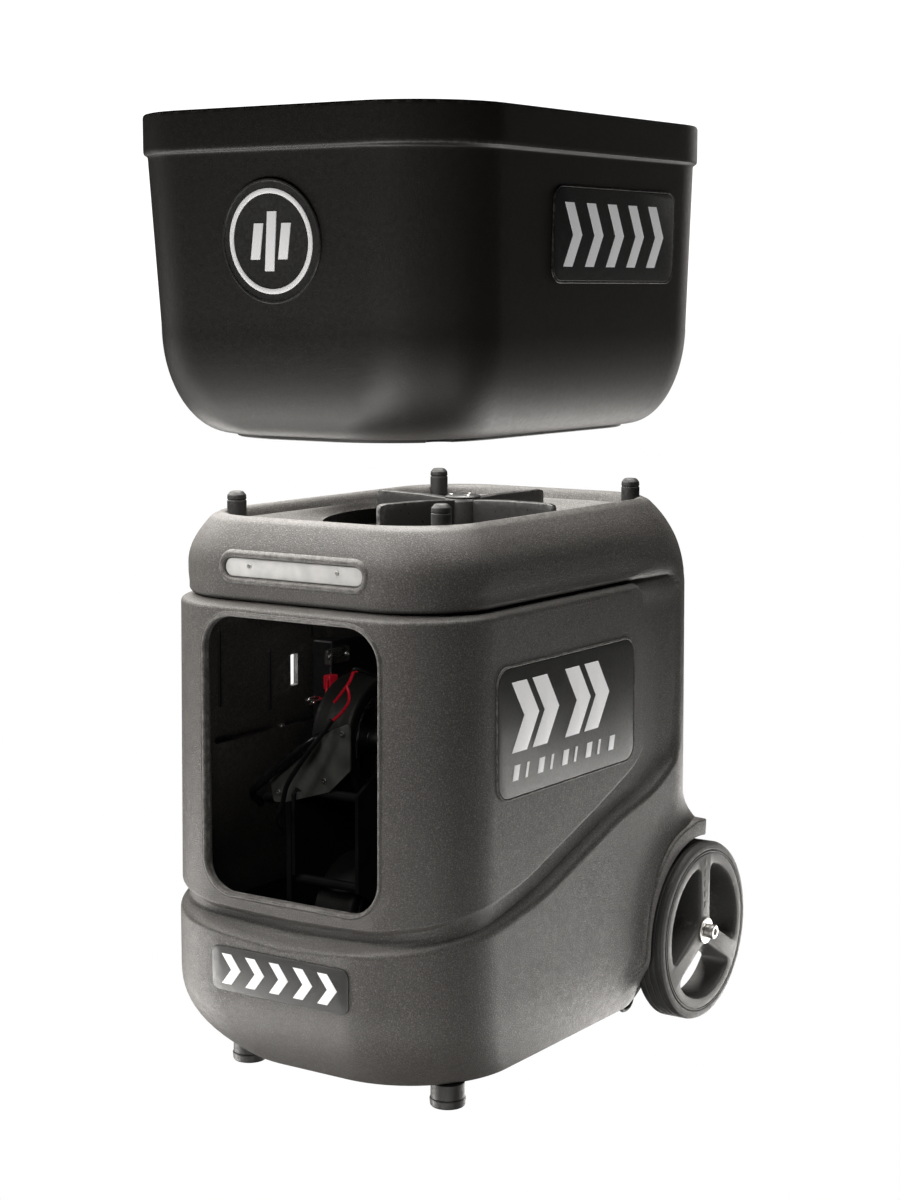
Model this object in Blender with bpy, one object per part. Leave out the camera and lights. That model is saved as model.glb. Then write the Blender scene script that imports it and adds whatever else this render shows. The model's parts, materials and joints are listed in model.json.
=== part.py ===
"""Tennis ball machine: a moulded body on two wheels and two feet, with a
lift-off ball hopper, a rotary ball feed, a chute, and a swinging, tilting
launch head with two motor-driven wheels.

Frame: +Z up, the front faces -Y, +X is the right-hand wheel side.
Origin: middle of the object's box, on the ground.
All the dimensions below are in millimetres; meshes are written in metres.
"""
import math

import bmesh
import bpy
import numpy as np

MM = 0.001
GAP = 0.3                           # clearance between neighbouring pieces
SMOOTH_ANGLE = math.radians(35.0)   # edges sharper than this stay sharp
SIDES = ((1, "right"), (-1, "left"))

# ---- body shell ----
BODY_X = 184.0              # half width at the top of the panel
BODY_FRONT, BODY_REAR = -281.5, 255.5
BODY_CORNER = 90.0
PANEL_Z0, PANEL_Z1 = 193.0, 488.0
DRAFT = 2.0                 # the panel and lower body stand out this much more at the foot
LOWER_FRONT = -299.5        # the lower body stands forward of the panel
LOWER_CORNER = 110.0
LOWER_CURVE_Z, LOWER_CURVE_HEIGHT = 118.0, 91.0     # the bottom edges curve under below this
LOWER_INSET_X, LOWER_INSET_FRONT, LOWER_INSET_REAR = 29.0, 54.0, 16.0
GROOVE_Z = 505.0            # line between shoulder and panel
RIM_Z = 587.5
WALL = 5.0
WELL_R = 133.0              # round well the feed wheel turns in
WELL_Y, WELL_Z = 26.5, 558.0
WINDOW_X, WINDOW_Z0, WINDOW_Z1, WINDOW_CORNER = 105.0, 209.0, 490.0, 35.0
REAR_OPEN_X, REAR_OPEN_Z0, REAR_OPEN_Z1, REAR_OPEN_CORNER = 62.0, 215.0, 455.0, 12.0
LIGHT_X, LIGHT_Z0, LIGHT_Z1, LIGHT_CORNER = 85.0, 529.0, 549.0, 9.9

# ---- wheels ----
AXLE = (208.5, 100.0)       # y, z
AXLE_R = 6.0
AXLE_END_X = 204.8
WHEEL_R, RIM_R = 100.0, 91.0
WHEEL_X0, WHEEL_X1 = 169.0, 205.0
POCKET_R, POCKET_X = 106.0, 158.0
SPOKE_HALF_WIDTH = 9.5

# ---- feet and hopper posts ----
FOOT_X, FOOT_Y, FOOT_R = 127.0, -190.5, 17.5
POST_X, POST_FRONT, POST_REAR = 127.0, -201.5, 166.5
POST_R, POST_SEAT_Z, POST_TOP = 10.0, 576.5, 607.5
POSTS = {
    "front_left": (-POST_X, POST_FRONT), "rear_left": (-POST_X, POST_REAR),
    "front_right": (POST_X, POST_FRONT), "rear_right": (POST_X, POST_REAR),
}

# ---- hopper (raised above its seat) ----
HOPPER_Z0 = 669.0
HOPPER_WALL_Z = 775.0       # the rounded underside meets the wall here
HOPPER_LEDGE_Z = 943.0
HOPPER_TOP_Z = 983.0
HOPPER_WALL = 4.0
HOPPER_HOLE_R = 136.0
# half width, front, rear, corner radius of the outer wall
HOPPER_FOOT = np.array((143.0, -254.5, 206.0, 108.0))       # at HOPPER_Z0
HOPPER_SHOULDER = np.array((196.0, -294.5, 232.0, 104.0))   # at HOPPER_WALL_Z
HOPPER_FLARE = np.array((4.5, -10.0, 2.0, -3.0)) / 155.0    # change per mm of height above it

# ---- ball feed ----
FEED_AXIS = (0, WELL_Y)
FEED_HOLE_Y = WELL_Y + 88
CHUTE_BEND_R = 100.0

# ---- launch head ----
HEAD_Y, HEAD_Z = -120.0, 262.0
SWING_AXIS, TILT_AXIS = (0, HEAD_Y), (HEAD_Y, HEAD_Z)       # x, y and y, z
LAUNCH_Y = -150.0
LAUNCH_PITCH = 93.5         # launch wheel centre above and below the ball line
LAUNCH_R = 65.0
PLATE_X, PLATE_THICK = 38.0, 4.0
ARM_X, YOKE_X = 106.0, 112.0        # inner and outer faces of the yoke arms
GEAR_MODULE = 2.5
GEAR_TEETH, PINION_TEETH = 48, 12
GEAR_BACKLASH = 0.35        # added to the centre distance
GEAR_THINNING = 0.12        # taken off each tooth flank
PINION_Y = HEAD_Y + GEAR_MODULE * (GEAR_TEETH + PINION_TEETH) / 2 + GEAR_BACKLASH

# ---- rear controls and tow handle ----
BADGE_OUT = 1.5             # badge face in front of the wall it sits on
SWITCH_Y, SWITCH_Z = 252.0, 418.0
BUTTON_X = 26.0
SOCKET_Z = 250.0
HANDLE_X, HANDLE_Y, HANDLE_Z = 80.0, 271.0, 522.0
HANDLE_BEND_R = 18.0

# ---- shared material settings ----
BODY_GREY = dict(colour=(0.045, 0.043, 0.041), roughness=0.55)
BLACK = dict(colour=(0.02, 0.02, 0.02), roughness=0.6)
RUBBER = dict(colour=(0.014, 0.014, 0.014), roughness=0.85)
STEEL = dict(colour=(0.55, 0.55, 0.56), roughness=0.3, metallic=1.0)
ALUMINIUM = dict(colour=(0.35, 0.35, 0.36), roughness=0.35, metallic=1.0)
BADGE = dict(colour=(0.05, 0.05, 0.052), roughness=0.25)


# ==== objects and materials ====
def material(name, colour, roughness, metallic=0.0, transmission=0.0):
    mat = bpy.data.materials.new(name)
    mat.use_nodes = True
    inputs = mat.node_tree.nodes["Principled BSDF"].inputs
    inputs["Base Color"].default_value = (*colour, 1.0)
    inputs["Roughness"].default_value = roughness
    inputs["Metallic"].default_value = metallic
    inputs["Transmission Weight"].default_value = transmission
    mat.diffuse_color = (*colour, 1.0)
    return mat


def shade(mesh):
    mesh.shade_smooth()
    mesh.set_sharp_from_angle(angle=SMOOTH_ANGLE)


def attach(ob, parent):
    """Parent an object without moving it."""
    ob.parent = parent
    ob.matrix_parent_inverse = parent.matrix_basis.inverted()


def piece(name, bm, mat=None, parent=None):
    """Turn a millimetre bmesh into an object in metres, with its origin at its parent's."""
    origin = [round(c / MM, 3) for c in parent.location] if parent else (0, 0, 0)
    bmesh.ops.remove_doubles(bm, verts=bm.verts, dist=0.0005)
    bmesh.ops.recalc_face_normals(bm, faces=bm.faces)
    for v in bm.verts:
        v.co = [(v.co[i] - origin[i]) * MM for i in range(3)]
    mesh = bpy.data.meshes.new(name)
    bm.to_mesh(mesh)
    bm.free()
    shade(mesh)
    ob = bpy.data.objects.new(name, mesh)
    bpy.context.scene.collection.objects.link(ob)
    if mat is not None:
        mesh.materials.append(mat)
    ob.location = [c * MM for c in origin]
    if parent is not None:
        attach(ob, parent)
    return ob


def pivot(name, at, parent=None):
    empty = bpy.data.objects.new(name, None)
    empty.empty_display_size = 0.03
    empty.location = [c * MM for c in at]
    bpy.context.scene.collection.objects.link(empty)
    if parent is not None:
        attach(empty, parent)
    return empty


def helper(bm):
    """Temporary object, used up by a Boolean."""
    return piece("cutter", bm)


def boolean(ob, operation, tools):
    """Apply one Boolean for each tool (a bmesh or a helper), then drop the tools."""
    tools = [t if isinstance(t, bpy.types.Object) else helper(t) for t in tools]
    for tool in tools:
        modifier = ob.modifiers.new(tool.name, "BOOLEAN")
        modifier.object = tool
        modifier.operation = operation
        modifier.solver = "EXACT"
    deps = bpy.context.evaluated_depsgraph_get()
    mesh = bpy.data.meshes.new_from_object(ob.evaluated_get(deps))
    ob.modifiers.clear()
    old = ob.data
    ob.data = mesh
    bpy.data.meshes.remove(old)
    for tool in tools:
        bpy.data.objects.remove(tool, do_unlink=True)
    bm = bmesh.new()
    bm.from_mesh(mesh)
    bmesh.ops.remove_doubles(bm, verts=bm.verts, dist=2e-7)
    bm.to_mesh(mesh)
    bm.free()
    shade(mesh)


def cut(ob, *tools):
    boolean(ob, "DIFFERENCE", tools)


def join(ob, *tools):
    boolean(ob, "UNION", tools)


# ==== shapes, all in millimetres ====
def skin(rings, loop=False):
    """Closed surface through rings of equal length: capped, or looped back to the first."""
    bm = bmesh.new()
    verts = [[bm.verts.new(p) for p in ring] for ring in rings]
    n = len(rings[0])
    pairs = list(zip(verts, verts[1:])) + ([(verts[-1], verts[0])] if loop else [])
    for a, b in pairs:
        for i in range(n):
            j = (i + 1) % n
            bm.faces.new((a[i], a[j], b[j], b[i]))
    if not loop:
        bm.faces.new(verts[0])
        bm.faces.new(verts[-1])
    return bm


def axis_point(axis, u, v, w):
    """u, v across the axis and w along it."""
    return {"X": (w, u, v), "Y": (u, w, v), "Z": (u, v, w)}[axis]


def turned(profile, axis, centre, segments):
    """Spin a closed (radius, along) profile; radius 0 closes on the axis."""
    cu, cv = centre
    bm = bmesh.new()
    columns = []
    for r, w in profile:
        if r < 1e-9:
            columns.append([bm.verts.new(axis_point(axis, cu, cv, w))] * segments)
            continue
        angles = [2 * math.pi * k / segments for k in range(segments)]
        columns.append([bm.verts.new(axis_point(
            axis, cu + r * math.cos(t), cv + r * math.sin(t), w)) for t in angles])
    for i, a in enumerate(columns):
        b = columns[(i + 1) % len(columns)]
        for k in range(segments):
            j = (k + 1) % segments
            corners = []
            for v in (a[k], a[j], b[j], b[k]):
                if v not in corners:
                    corners.append(v)
            if len(corners) > 2:
                bm.faces.new(corners)
    return bm


def along_side(profile, side):
    """(radius, x) profile for the right side, mirrored for the left."""
    return [(r, side * x) for r, x in profile]


def rod(axis, centre, w0, w1, r, segments):
    return turned([(0, w0), (r, w0), (r, w1), (0, w1)], axis, centre, segments)


def tube(axis, centre, w0, w1, r0, r1, segments):
    return turned([(r0, w0), (r1, w0), (r1, w1), (r0, w1)], axis, centre, segments)


def slab(axis, outline, w0, w1):
    return skin([[axis_point(axis, u, v, w) for u, v in outline] for w in (w0, w1)])


def box(low, high, bevel=0.0, bevel_segments=1):
    (x0, y0, z0), (x1, y1, z1) = low, high
    bm = slab("Z", [(x0, y0), (x1, y0), (x1, y1), (x0, y1)], z0, z1)
    if bevel:
        bmesh.ops.bevel(bm, geom=list(bm.edges), offset=bevel, segments=bevel_segments,
                        affect="EDGES", profile=0.5)
    return bm


def rounded(u0, u1, v0, v1, r, steps):
    """Rounded rectangle outline."""
    points = []
    for cu, cv, start in ((u1 - r, v1 - r, 0), (u0 + r, v1 - r, 90),
                          (u0 + r, v0 + r, 180), (u1 - r, v0 + r, 270)):
        for k in range(steps + 1):
            t = math.radians(start + 90.0 * k / steps)
            points.append((cu + r * math.cos(t), cv + r * math.sin(t)))
    return points


def section(half_width, front, rear, corner, z):
    """Plan section of the moulded shells: rounded rectangle with extra
    points along its straights, so that every section has equal length."""
    steps = 4
    points = rounded(-half_width, half_width, front, rear, corner, steps)
    out = []
    for q in range(4):
        end = (q + 1) * (steps + 1)
        out += points[q * (steps + 1):end]
        (x0, y0), (x1, y1) = points[end - 1], points[end % len(points)]
        for t in ((0.5,) if q in (0, 2) else (0.25, 0.5, 0.75)):
            out.append((x0 + (x1 - x0) * t, y0 + (y1 - y0) * t))
    return [(x, y, z) for x, y in out]


def sections(table):
    return [section(*row) for row in table]


def round_section(like, radius, z):
    """Circle about the feed axis with points in the same directions as another section's."""
    out = []
    for x, y, _ in like:
        d = math.hypot(x, y - WELL_Y)
        out.append((x / d * radius, WELL_Y + (y - WELL_Y) / d * radius, z))
    return out


def gear(axis, centre, w0, w1, teeth, phase, span=360.0):
    """Spur gear with involute-like flanks; only the teeth within span degrees
    either side of phase are cut."""
    pressure = math.radians(20)
    pitch_r = GEAR_MODULE * teeth / 2
    base_r = pitch_r * math.cos(pressure)
    tip_r = pitch_r + GEAR_MODULE * 0.95
    root_r = pitch_r - GEAR_MODULE * 1.2
    foot_r = max(base_r, root_r + 0.3)      # the flank starts here

    def involute(t):
        return math.tan(t) - t

    half = math.pi / (2 * teeth) - GEAR_THINNING / pitch_r + involute(pressure)
    up_flank = [(r, -1) for r in (root_r, foot_r, pitch_r, tip_r)]
    down_flank = [(r, 1) for r in (tip_r, pitch_r, foot_r, root_r)]
    polar = []
    for k in range(-(teeth // 2), teeth - teeth // 2):
        turn = 2 * math.pi * k / teeth
        if abs(turn) > math.radians(span):
            polar.append((root_r, phase + turn))
            continue
        for r, side in up_flank + down_flank:
            flank = half - involute(math.acos(base_r / max(r, foot_r)))
            polar.append((r, phase + turn + side * flank))
    outline = [(centre[0] + r * math.cos(t), centre[1] + r * math.sin(t)) for r, t in polar]
    return slab(axis, outline, w0, w1)


def sweep(path, radius, segments, inner=None):
    """Round bar along a list of points; with an inner radius, an open pipe."""
    points = [np.array(p, float) for p in path]
    last = len(points) - 1
    angles = [2 * math.pi * k / segments for k in range(segments)]
    outer_rings, inner_rings = [], []
    across = None
    for i, point in enumerate(points):
        along = points[min(i + 1, last)] - points[max(i - 1, 0)]
        along /= np.linalg.norm(along)
        if across is None:
            across = np.array((1.0, 0, 0) if abs(along[0]) < 0.9 else (0, 0, 1.0))
        across = across - along * across.dot(along)
        across /= np.linalg.norm(across)
        other = np.cross(along, across)
        spokes = [across * math.cos(t) + other * math.sin(t) for t in angles]
        outer_rings.append([tuple(point + s * radius) for s in spokes])
        if inner:
            inner_rings.append([tuple(point + s * inner) for s in spokes])
    return skin(outer_rings + inner_rings[::-1], loop=bool(inner))


def arc(axis, centre, r, start, end, steps, w=0.0):
    """Points on an arc about the axis, from start to end degrees."""
    angles = [math.radians(start + (end - start) * k / steps) for k in range(steps + 1)]
    return [axis_point(axis, centre[0] + r * math.cos(t), centre[1] + r * math.sin(t), w)
            for t in angles]


def tilted(bm, centre_z, axis_index, slope):
    """Lean a plate by the wall's slope about the height centre_z."""
    for v in bm.verts:
        v.co[axis_index] += slope * (v.co.z - centre_z)
    return bm


# ==== body ====
# Columns of all section tables: half width, front, rear, corner radius, z
UPPER_SECTIONS = [
    (184.5, LOWER_FRONT + 3.5, BODY_REAR, 108, 172.0),
    (178.0, -276.0, BODY_REAR, 90, 181.0),
    (178.0, -275.5, BODY_REAR, 86, 187.0),
]
SHOULDER_SECTIONS = [
    (BODY_X, BODY_FRONT, BODY_REAR, BODY_CORNER, PANEL_Z1),
    (182.0, -279.5, 254.0, 88, 499.0),
    (174.0, -270.0, 252.5, 82, GROOVE_Z),
    (176.5, -271.5, 251.5, 84, 513.0),
    (178.0, -272.5, 249.0, 86, 528.0),
    (177.5, -272.0, 243.5, 86, 544.0),
    (172.0, -269.0, 236.5, 84, 558.0),
    (163.0, -262.0, 224.0, 82, 577.0),
    (156.0, -256.0, 212.5, 80, 585.5),
    (150.0, -249.5, 203.0, 78, RIM_Z),
    (144.5, -243.0, 196.5, 76, 584.0),
    (141.0, -236.0, 191.0, 74, 576.0),
]
CAVITY_SECTIONS = [
    (170.5, -268.0, BODY_REAR - WALL, 86, 183.0),
    (179.0, -276.5, BODY_REAR - WALL, 85, 205.0),
    (179.0, -276.5, BODY_REAR - WALL, 85, 482.0),
    (169.0, -264.5, 247.5, 78, 502.0),
    (170.0, -263.0, 243.5, 78, 540.0),
    (164.0, -260.0, 230.0, 76, 560.0),
    (154.0, -250.0, 212.0, 76, 571.0),
    (146.0, -242.0, 196.0, 72, 571.5),
]
BASE_PLATE_SECTIONS = [
    (150.8, -239.3, 233.3, 109.5, 26.3),
    (152.4, -243.4, 234.6, 109.5, 31.0),
]


def lower_section(z, curve_z, wall=0.0):
    """Section of the lower body at z, drawn in as far as its edges are at curve_z."""
    share = max(0.0, (LOWER_CURVE_Z - curve_z) / LOWER_CURVE_HEIGHT) ** 2.2
    return section(BODY_X + DRAFT - wall - LOWER_INSET_X * share,
                   LOWER_FRONT + wall + LOWER_INSET_FRONT * share,
                   BODY_REAR - wall - LOWER_INSET_REAR * share,
                   LOWER_CORNER - wall + 5 * share, z)


def panel_x(z):
    """Half width of the panel at height z, which leans out towards its foot."""
    return BODY_X + DRAFT * (PANEL_Z1 - z) / (PANEL_Z1 - PANEL_Z0)


def light_outline(inset=0.0):
    return rounded(-LIGHT_X + inset, LIGHT_X - inset, LIGHT_Z0 + inset, LIGHT_Z1 - inset,
                   LIGHT_CORNER - inset, 5)


def rear_outline(inset=0.0):
    return rounded(-REAR_OPEN_X + inset, REAR_OPEN_X - inset, REAR_OPEN_Z0 + inset,
                   REAR_OPEN_Z1 - inset, REAR_OPEN_CORNER - inset, 3)


def post_rods(z0, z1, radius, segments):
    return [rod("Z", at, z0, z1, radius, segments) for at in POSTS.values()]


def body_cavity():
    """Inside of the shell, kept clear of the wheel pockets."""
    rings = [lower_section(z, max(z, 27.0), WALL)
             for z in (10.0, 27.0, 36.0, 48.0, 64.0, 82.0, 100.0, 118.0, 160.0)]
    rings += sections(CAVITY_SECTIONS)
    rings.append(round_section(rings[-1], WELL_R + 8.0, 553.5))
    cavity = helper(skin(rings))
    cut(cavity, *[rod("X", AXLE, s * (POCKET_X - WALL), s * 230, POCKET_R + WALL, 32)
                  for s in (-1, 1)])
    return cavity


def build_body_shell():
    rings = [lower_section(z, z) for z in (26.0, 33.0, 44.0, 60.0, 80.0, 98.0, 118.0, 160.0)]
    rings += sections(UPPER_SECTIONS)
    for z, draft in ((PANEL_Z0, DRAFT), (320.0, DRAFT * 0.57)):
        rings.append(section(panel_x(z), BODY_FRONT - draft, BODY_REAR, BODY_CORNER, z))
    rings += sections(SHOULDER_SECTIONS)
    rings.append(round_section(rings[-1], WELL_R + 2.5, WELL_Z + 1.5))
    shell = piece("body_shell", skin(rings), material("body_plastic", **BODY_GREY))

    cutters = [body_cavity()]
    for s in (-1, 1):
        cutters.append(rod("X", AXLE, s * POCKET_X, s * 235, POCKET_R, 32))
        cutters.append(rod("X", AXLE, s * 140, s * 170, AXLE_R + 0.6, 20))
    window = rounded(-WINDOW_X, WINDOW_X, WINDOW_Z0, WINDOW_Z1, WINDOW_CORNER, 6)
    cutters += [
        slab("Y", window, -330, -245),
        slab("Y", rear_outline(), 235, 290),
        rod("Z", FEED_AXIS, 540, 575, WELL_R, 32),
        slab("Y", light_outline(), -290, -268.3),
        # slot through the wall behind the light
        slab("Y", rounded(-4.0, 4.0, 532.0, 546.0, 3.9, 3), -275, -255),
        *post_rods(POST_SEAT_Z, 605, POST_R + GAP, 24),
        # upright slot in the left wall
        slab("X", rounded(-47.0, -41.5, 378.0, 411.0, 2.0, 2), -200, -170),
    ]
    cut(shell, *cutters)


def build_base_plate():
    piece("base_plate", skin(sections(BASE_PLATE_SECTIONS)), material("base_plastic", **BLACK))


# ==== hopper ====
HOPPER_RIM_SECTIONS = [
    (205.2, -307.7, 236.3, 99, HOPPER_LEDGE_Z),
    (206.0, -308.5, 237.0, 99, HOPPER_LEDGE_Z + 4),
    (206.0, -308.5, 237.0, 99, HOPPER_TOP_Z - 3),
    (204.5, -307.0, 235.5, 98, HOPPER_TOP_Z),
    (201.5, -304.0, 232.5, 96, HOPPER_TOP_Z),
    (200.0, -302.5, 231.0, 95, HOPPER_TOP_Z - 3),
]
# z of the inner surface, how far below it the outer size is taken
HOPPER_INNER = [
    (HOPPER_LEDGE_Z - 4, 0), (HOPPER_WALL_Z, 0), (730.0, 3.6), (700.0, 3.6), (684.0, 3.6),
    (676.5, 3.6), (HOPPER_Z0 + HOPPER_WALL, HOPPER_WALL),
]
HOPPER_PLATE_SECTIONS = [
    (139.5, -253.0, 201.5, 109, 665.6),
    (140.5, -254.0, 202.5, 110, 668.7),
]


def hopper_size(z):
    """Half width, front, rear and corner radius of the hopper's outer wall."""
    if z >= HOPPER_WALL_Z:
        return HOPPER_SHOULDER + HOPPER_FLARE * (z - HOPPER_WALL_Z)
    depth = (HOPPER_WALL_Z - z) / (HOPPER_WALL_Z - HOPPER_Z0)
    share = math.sqrt(max(0.0, 1 - depth ** 2))
    return HOPPER_FOOT + (HOPPER_SHOULDER - HOPPER_FOOT) * share


def post_boss(at):
    """Boss inside the hopper's skin, so nothing stands out of its rounded underside."""
    inset = np.array((-0.4, 0.4, -0.4, 0))
    within = skin([section(*(hopper_size(z) + inset), z)
                   for z in (HOPPER_Z0, 670.5, 673.0, 677.0, 682.0, 690.0, 700.0)])
    boss = helper(rod("Z", at, 671, 690, 14.5, 20))
    boolean(boss, "INTERSECT", [within])
    return boss


def cut_hopper_floor(ob, post_hole_r):
    cut(ob, *post_rods(650, 687, post_hole_r, 20),
        rod("Z", FEED_AXIS, 640, 700, HOPPER_HOLE_R, 32))


def build_hopper():
    heights = [HOPPER_WALL_Z - (HOPPER_WALL_Z - HOPPER_Z0) * t
               for t in (1.0, 0.985, 0.93, 0.82, 0.62, 0.35, 0.0)] + [HOPPER_LEDGE_Z - 2]
    rings = [section(*hopper_size(z), z) for z in heights]
    rings += sections(HOPPER_RIM_SECTIONS)
    thickness = np.array((-1, 1, -1, -1)) * HOPPER_WALL
    for z, drop in HOPPER_INNER:
        rings.append(section(*(hopper_size(z - drop) + thickness), z))
    hopper = piece("hopper", skin(rings), material("hopper_plastic", **BODY_GREY))
    join(hopper, *[post_boss(at) for at in POSTS.values()])
    cut_hopper_floor(hopper, 11.5)

    plate = piece("hopper_base_plate", skin(sections(HOPPER_PLATE_SECTIONS)),
                  material("hopper_plate_plastic", **BLACK))
    cut_hopper_floor(plate, 15.5)


# ==== badges and light ====
# radius, distance in front of the hopper wall
MEDALLION_PROFILE = [
    (0, 0.3), (0, 1.6), (48.5, 1.6), (50.0, 2.4), (57.5, 2.4), (59.0, 1.4), (59.0, 0.3),
]


def build_medallion():
    z = 857
    wall_y = hopper_size(z)[1]
    disc = turned([(r, wall_y - out) for r, out in MEDALLION_PROFILE], "Y", (0, z), 32)
    piece("hopper_medallion", tilted(disc, z, 1, HOPPER_FLARE[1]),
          material("medallion_plastic", **BADGE))


def build_side_badge(name, side, outline, centre_z, wall_x, gap, slope):
    plate = slab("X", outline, side * (wall_x + gap), side * (wall_x + BADGE_OUT))
    piece(name, tilted(plate, centre_z, 0, side * slope), material(name + "_plastic", **BADGE))


def build_badges():
    build_medallion()
    for side, side_name in SIDES:
        build_side_badge("hopper_badge_" + side_name, side,
                         rounded(-114.5, 123.5, 820, 910, 14, 4),
                         865, hopper_size(865)[0], GAP, HOPPER_FLARE[0])
        build_side_badge("side_badge_" + side_name, side,
                         rounded(-189.5, 74.5, 318, 446, 17, 4),
                         382, panel_x(382), 0.35, -DRAFT / (PANEL_Z1 - PANEL_Z0))
    piece("front_badge", slab("Y", rounded(-85, 85, 114, 159, 8, 3),
                              LOWER_FRONT - GAP, LOWER_FRONT - BADGE_OUT),
          material("front_badge_plastic", **BADGE))


def build_light_lens():
    piece("light_lens", slab("Y", light_outline(0.5), -272.4, -268.6),
          material("lens_plastic", colour=(0.75, 0.76, 0.76), roughness=0.25,
                   transmission=0.6))


# ==== posts and feet ====
# radius, z
POST_PROFILE = [
    (0, POST_SEAT_Z + GAP), (POST_R, POST_SEAT_Z + GAP), (POST_R, 597.0),
    (POST_R - 0.8, 597.6), (POST_R - 0.8, 598.8), (POST_R, 599.4), (POST_R, 602.5),
    (POST_R - 1.2, 605.2), (POST_R - 3.6, 607.0), (0, POST_TOP),
]
FOOT_PROFILE = [
    (0, 0), (FOOT_R - 1.5, 0), (FOOT_R, 1.5), (FOOT_R + 1, 9), (FOOT_R, 12),
    (FOOT_R - 0.5, 25.7), (0, 25.7),
]


def build_posts_and_feet():
    for place, at in POSTS.items():
        piece("post_" + place, turned(POST_PROFILE, "Z", at, 14),
              material("post_%s_rubber" % place, **RUBBER))
    for side, side_name in SIDES:
        piece("foot_" + side_name, turned(FOOT_PROFILE, "Z", (side * FOOT_X, FOOT_Y), 18),
              material("foot_%s_rubber" % side_name, **RUBBER))


# ==== wheels and axle ====
BORE_R = AXLE_R + 0.35
# radius, x on the right-hand side
WHEEL_PROFILE = [
    (BORE_R, WHEEL_X0 + 1), (RIM_R - 0.6, WHEEL_X0 + 1), (RIM_R - 0.6, WHEEL_X1 - 1.2),
    (RIM_R - 1.8, WHEEL_X1), (BORE_R, WHEEL_X1),
]
TYRE_PROFILE = [
    (RIM_R - 0.2, WHEEL_X0 + 2), (WHEEL_R - 3, WHEEL_X0 + 0.5), (WHEEL_R, WHEEL_X0 + 4),
    (WHEEL_R, WHEEL_X1 - 5), (WHEEL_R - 3, WHEEL_X1 - 1), (RIM_R - 0.2, WHEEL_X1 - 1.2),
]
SCREW_PROFILE = [
    (0, 192), (3.0, 192), (3.0, 207.4), (8.0, 207.4), (8.0, 216.8), (6.8, 218), (0, 218),
]


def spoke_window(angle, x0, x1):
    """Rounded opening between two spokes, as a slab across the wheel."""
    inner_r, outer_r = 27.0, 74.0

    def edge(r):
        """angle from the middle of the opening to the spoke's side"""
        return math.radians(60) - math.asin(SPOKE_HALF_WIDTH / r)

    outer_end = edge(outer_r) - 0.10
    inner_end = edge(inner_r) - 0.12
    side = [(r, edge(r)) for r in (outer_r - 5.5, inner_r + 7)]
    polar = [(outer_r, outer_end * (2 * k / 8 - 1)) for k in range(9)]
    polar += side
    polar += [(inner_r, inner_end * (1 - 2 * k / 3)) for k in range(4)]
    polar += [(r, -t) for r, t in side[::-1]]
    outline = [(AXLE[0] + r * math.cos(angle + t), AXLE[1] + r * math.sin(angle + t))
               for r, t in polar]
    return slab("X", outline, x0, x1)


def build_axle():
    axle = piece("axle", rod("X", AXLE, -AXLE_END_X, AXLE_END_X, AXLE_R, 20),
                 material("axle_steel", **STEEL))
    cut(axle, *[rod("X", AXLE, s * 188, s * 215, 3.3, 16) for s in (-1, 1)])


def build_wheel(side, side_name):
    wheel_pivot = pivot("wheel_%s_pivot" % side_name, (0, *AXLE))
    wheel = piece("wheel_" + side_name, turned(along_side(WHEEL_PROFILE, side), "X", AXLE, 32),
                  material("wheel_%s_plastic" % side_name, colour=(0.10, 0.10, 0.10),
                           roughness=0.45), wheel_pivot)
    cut(wheel, *[spoke_window(math.radians(30 + 120 * k), side * 160, side * 215)
                 for k in range(3)])
    piece("tyre_" + side_name, turned(along_side(TYRE_PROFILE, side), "X", AXLE, 32),
          material("tyre_%s_rubber" % side_name, **RUBBER), wheel_pivot)


def build_axle_fixings(side, side_name):
    """Washer, and a screw with a hexagon socket."""
    washer_x = AXLE_END_X + GAP
    piece("axle_washer_" + side_name,
          tube("X", AXLE, side * washer_x, side * (washer_x + 2), 3.4, 14.5, 16),
          material("washer_%s_steel" % side_name, **STEEL))
    screw = piece("axle_screw_" + side_name,
                  turned(along_side(SCREW_PROFILE, side), "X", AXLE, 12),
                  material("screw_%s_steel" % side_name, **STEEL))
    cut(screw, rod_hexagon(4.6, side * 212, side * 222))


def rod_hexagon(radius, x0, x1):
    """Hexagonal bar on the axle line."""
    angles = [math.radians(60 * k) for k in range(6)]
    return slab("X", [(AXLE[0] + radius * math.cos(t), AXLE[1] + radius * math.sin(t))
                      for t in angles], x0, x1)


def build_tie_loop():
    """Loop for a tie under the right side."""
    x, y, half_width = 138, 148, 14
    path = [(x, y - half_width, 25.6)]
    for k in range(10):
        t = math.pi * (1 + k / 9)
        path.append((x, y + half_width * math.cos(t), 22.5 + 10.5 * math.sin(t)))
    path.append((x, y + half_width, 25.6))
    piece("tie_loop", sweep(path, 2.4, 8), material("tie_loop_rubber", **RUBBER))


# ==== ball feed ====
# radius, z
TRAY_PROFILE = [
    (8, 516), (140.5, 516), (140.5, 551.6), (137.5, 551.6), (137.5, 519), (8, 519),
]
IMPELLER_HUB_PROFILE = [
    (0, 500), (5, 500), (5, 522), (16, 522), (21, 530), (21, 588), (19.5, 589.6), (0, 589.6),
]
IMPELLER_CAP_PROFILE = [
    (0, 589.9), (18.5, 589.9), (19.5, 590.8), (18.0, 592.4), (9, 593.8), (0, 594.2),
]
FEED_MOTOR_PROFILE = [
    (0, 448), (17, 448), (18.5, 450), (18.5, 478), (24, 478), (24, 511), (11, 511),
    (11, 515.6), (0, 515.6),
]
# distance from the axis, half thickness, bottom, top
BLADE_STATIONS = [
    (14, 5.5, 524, 588.6), (60, 4.6, 524, 590.6), (124, 3.6, 524, 591.0), (130, 2.6, 530, 588.0),
]


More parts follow.
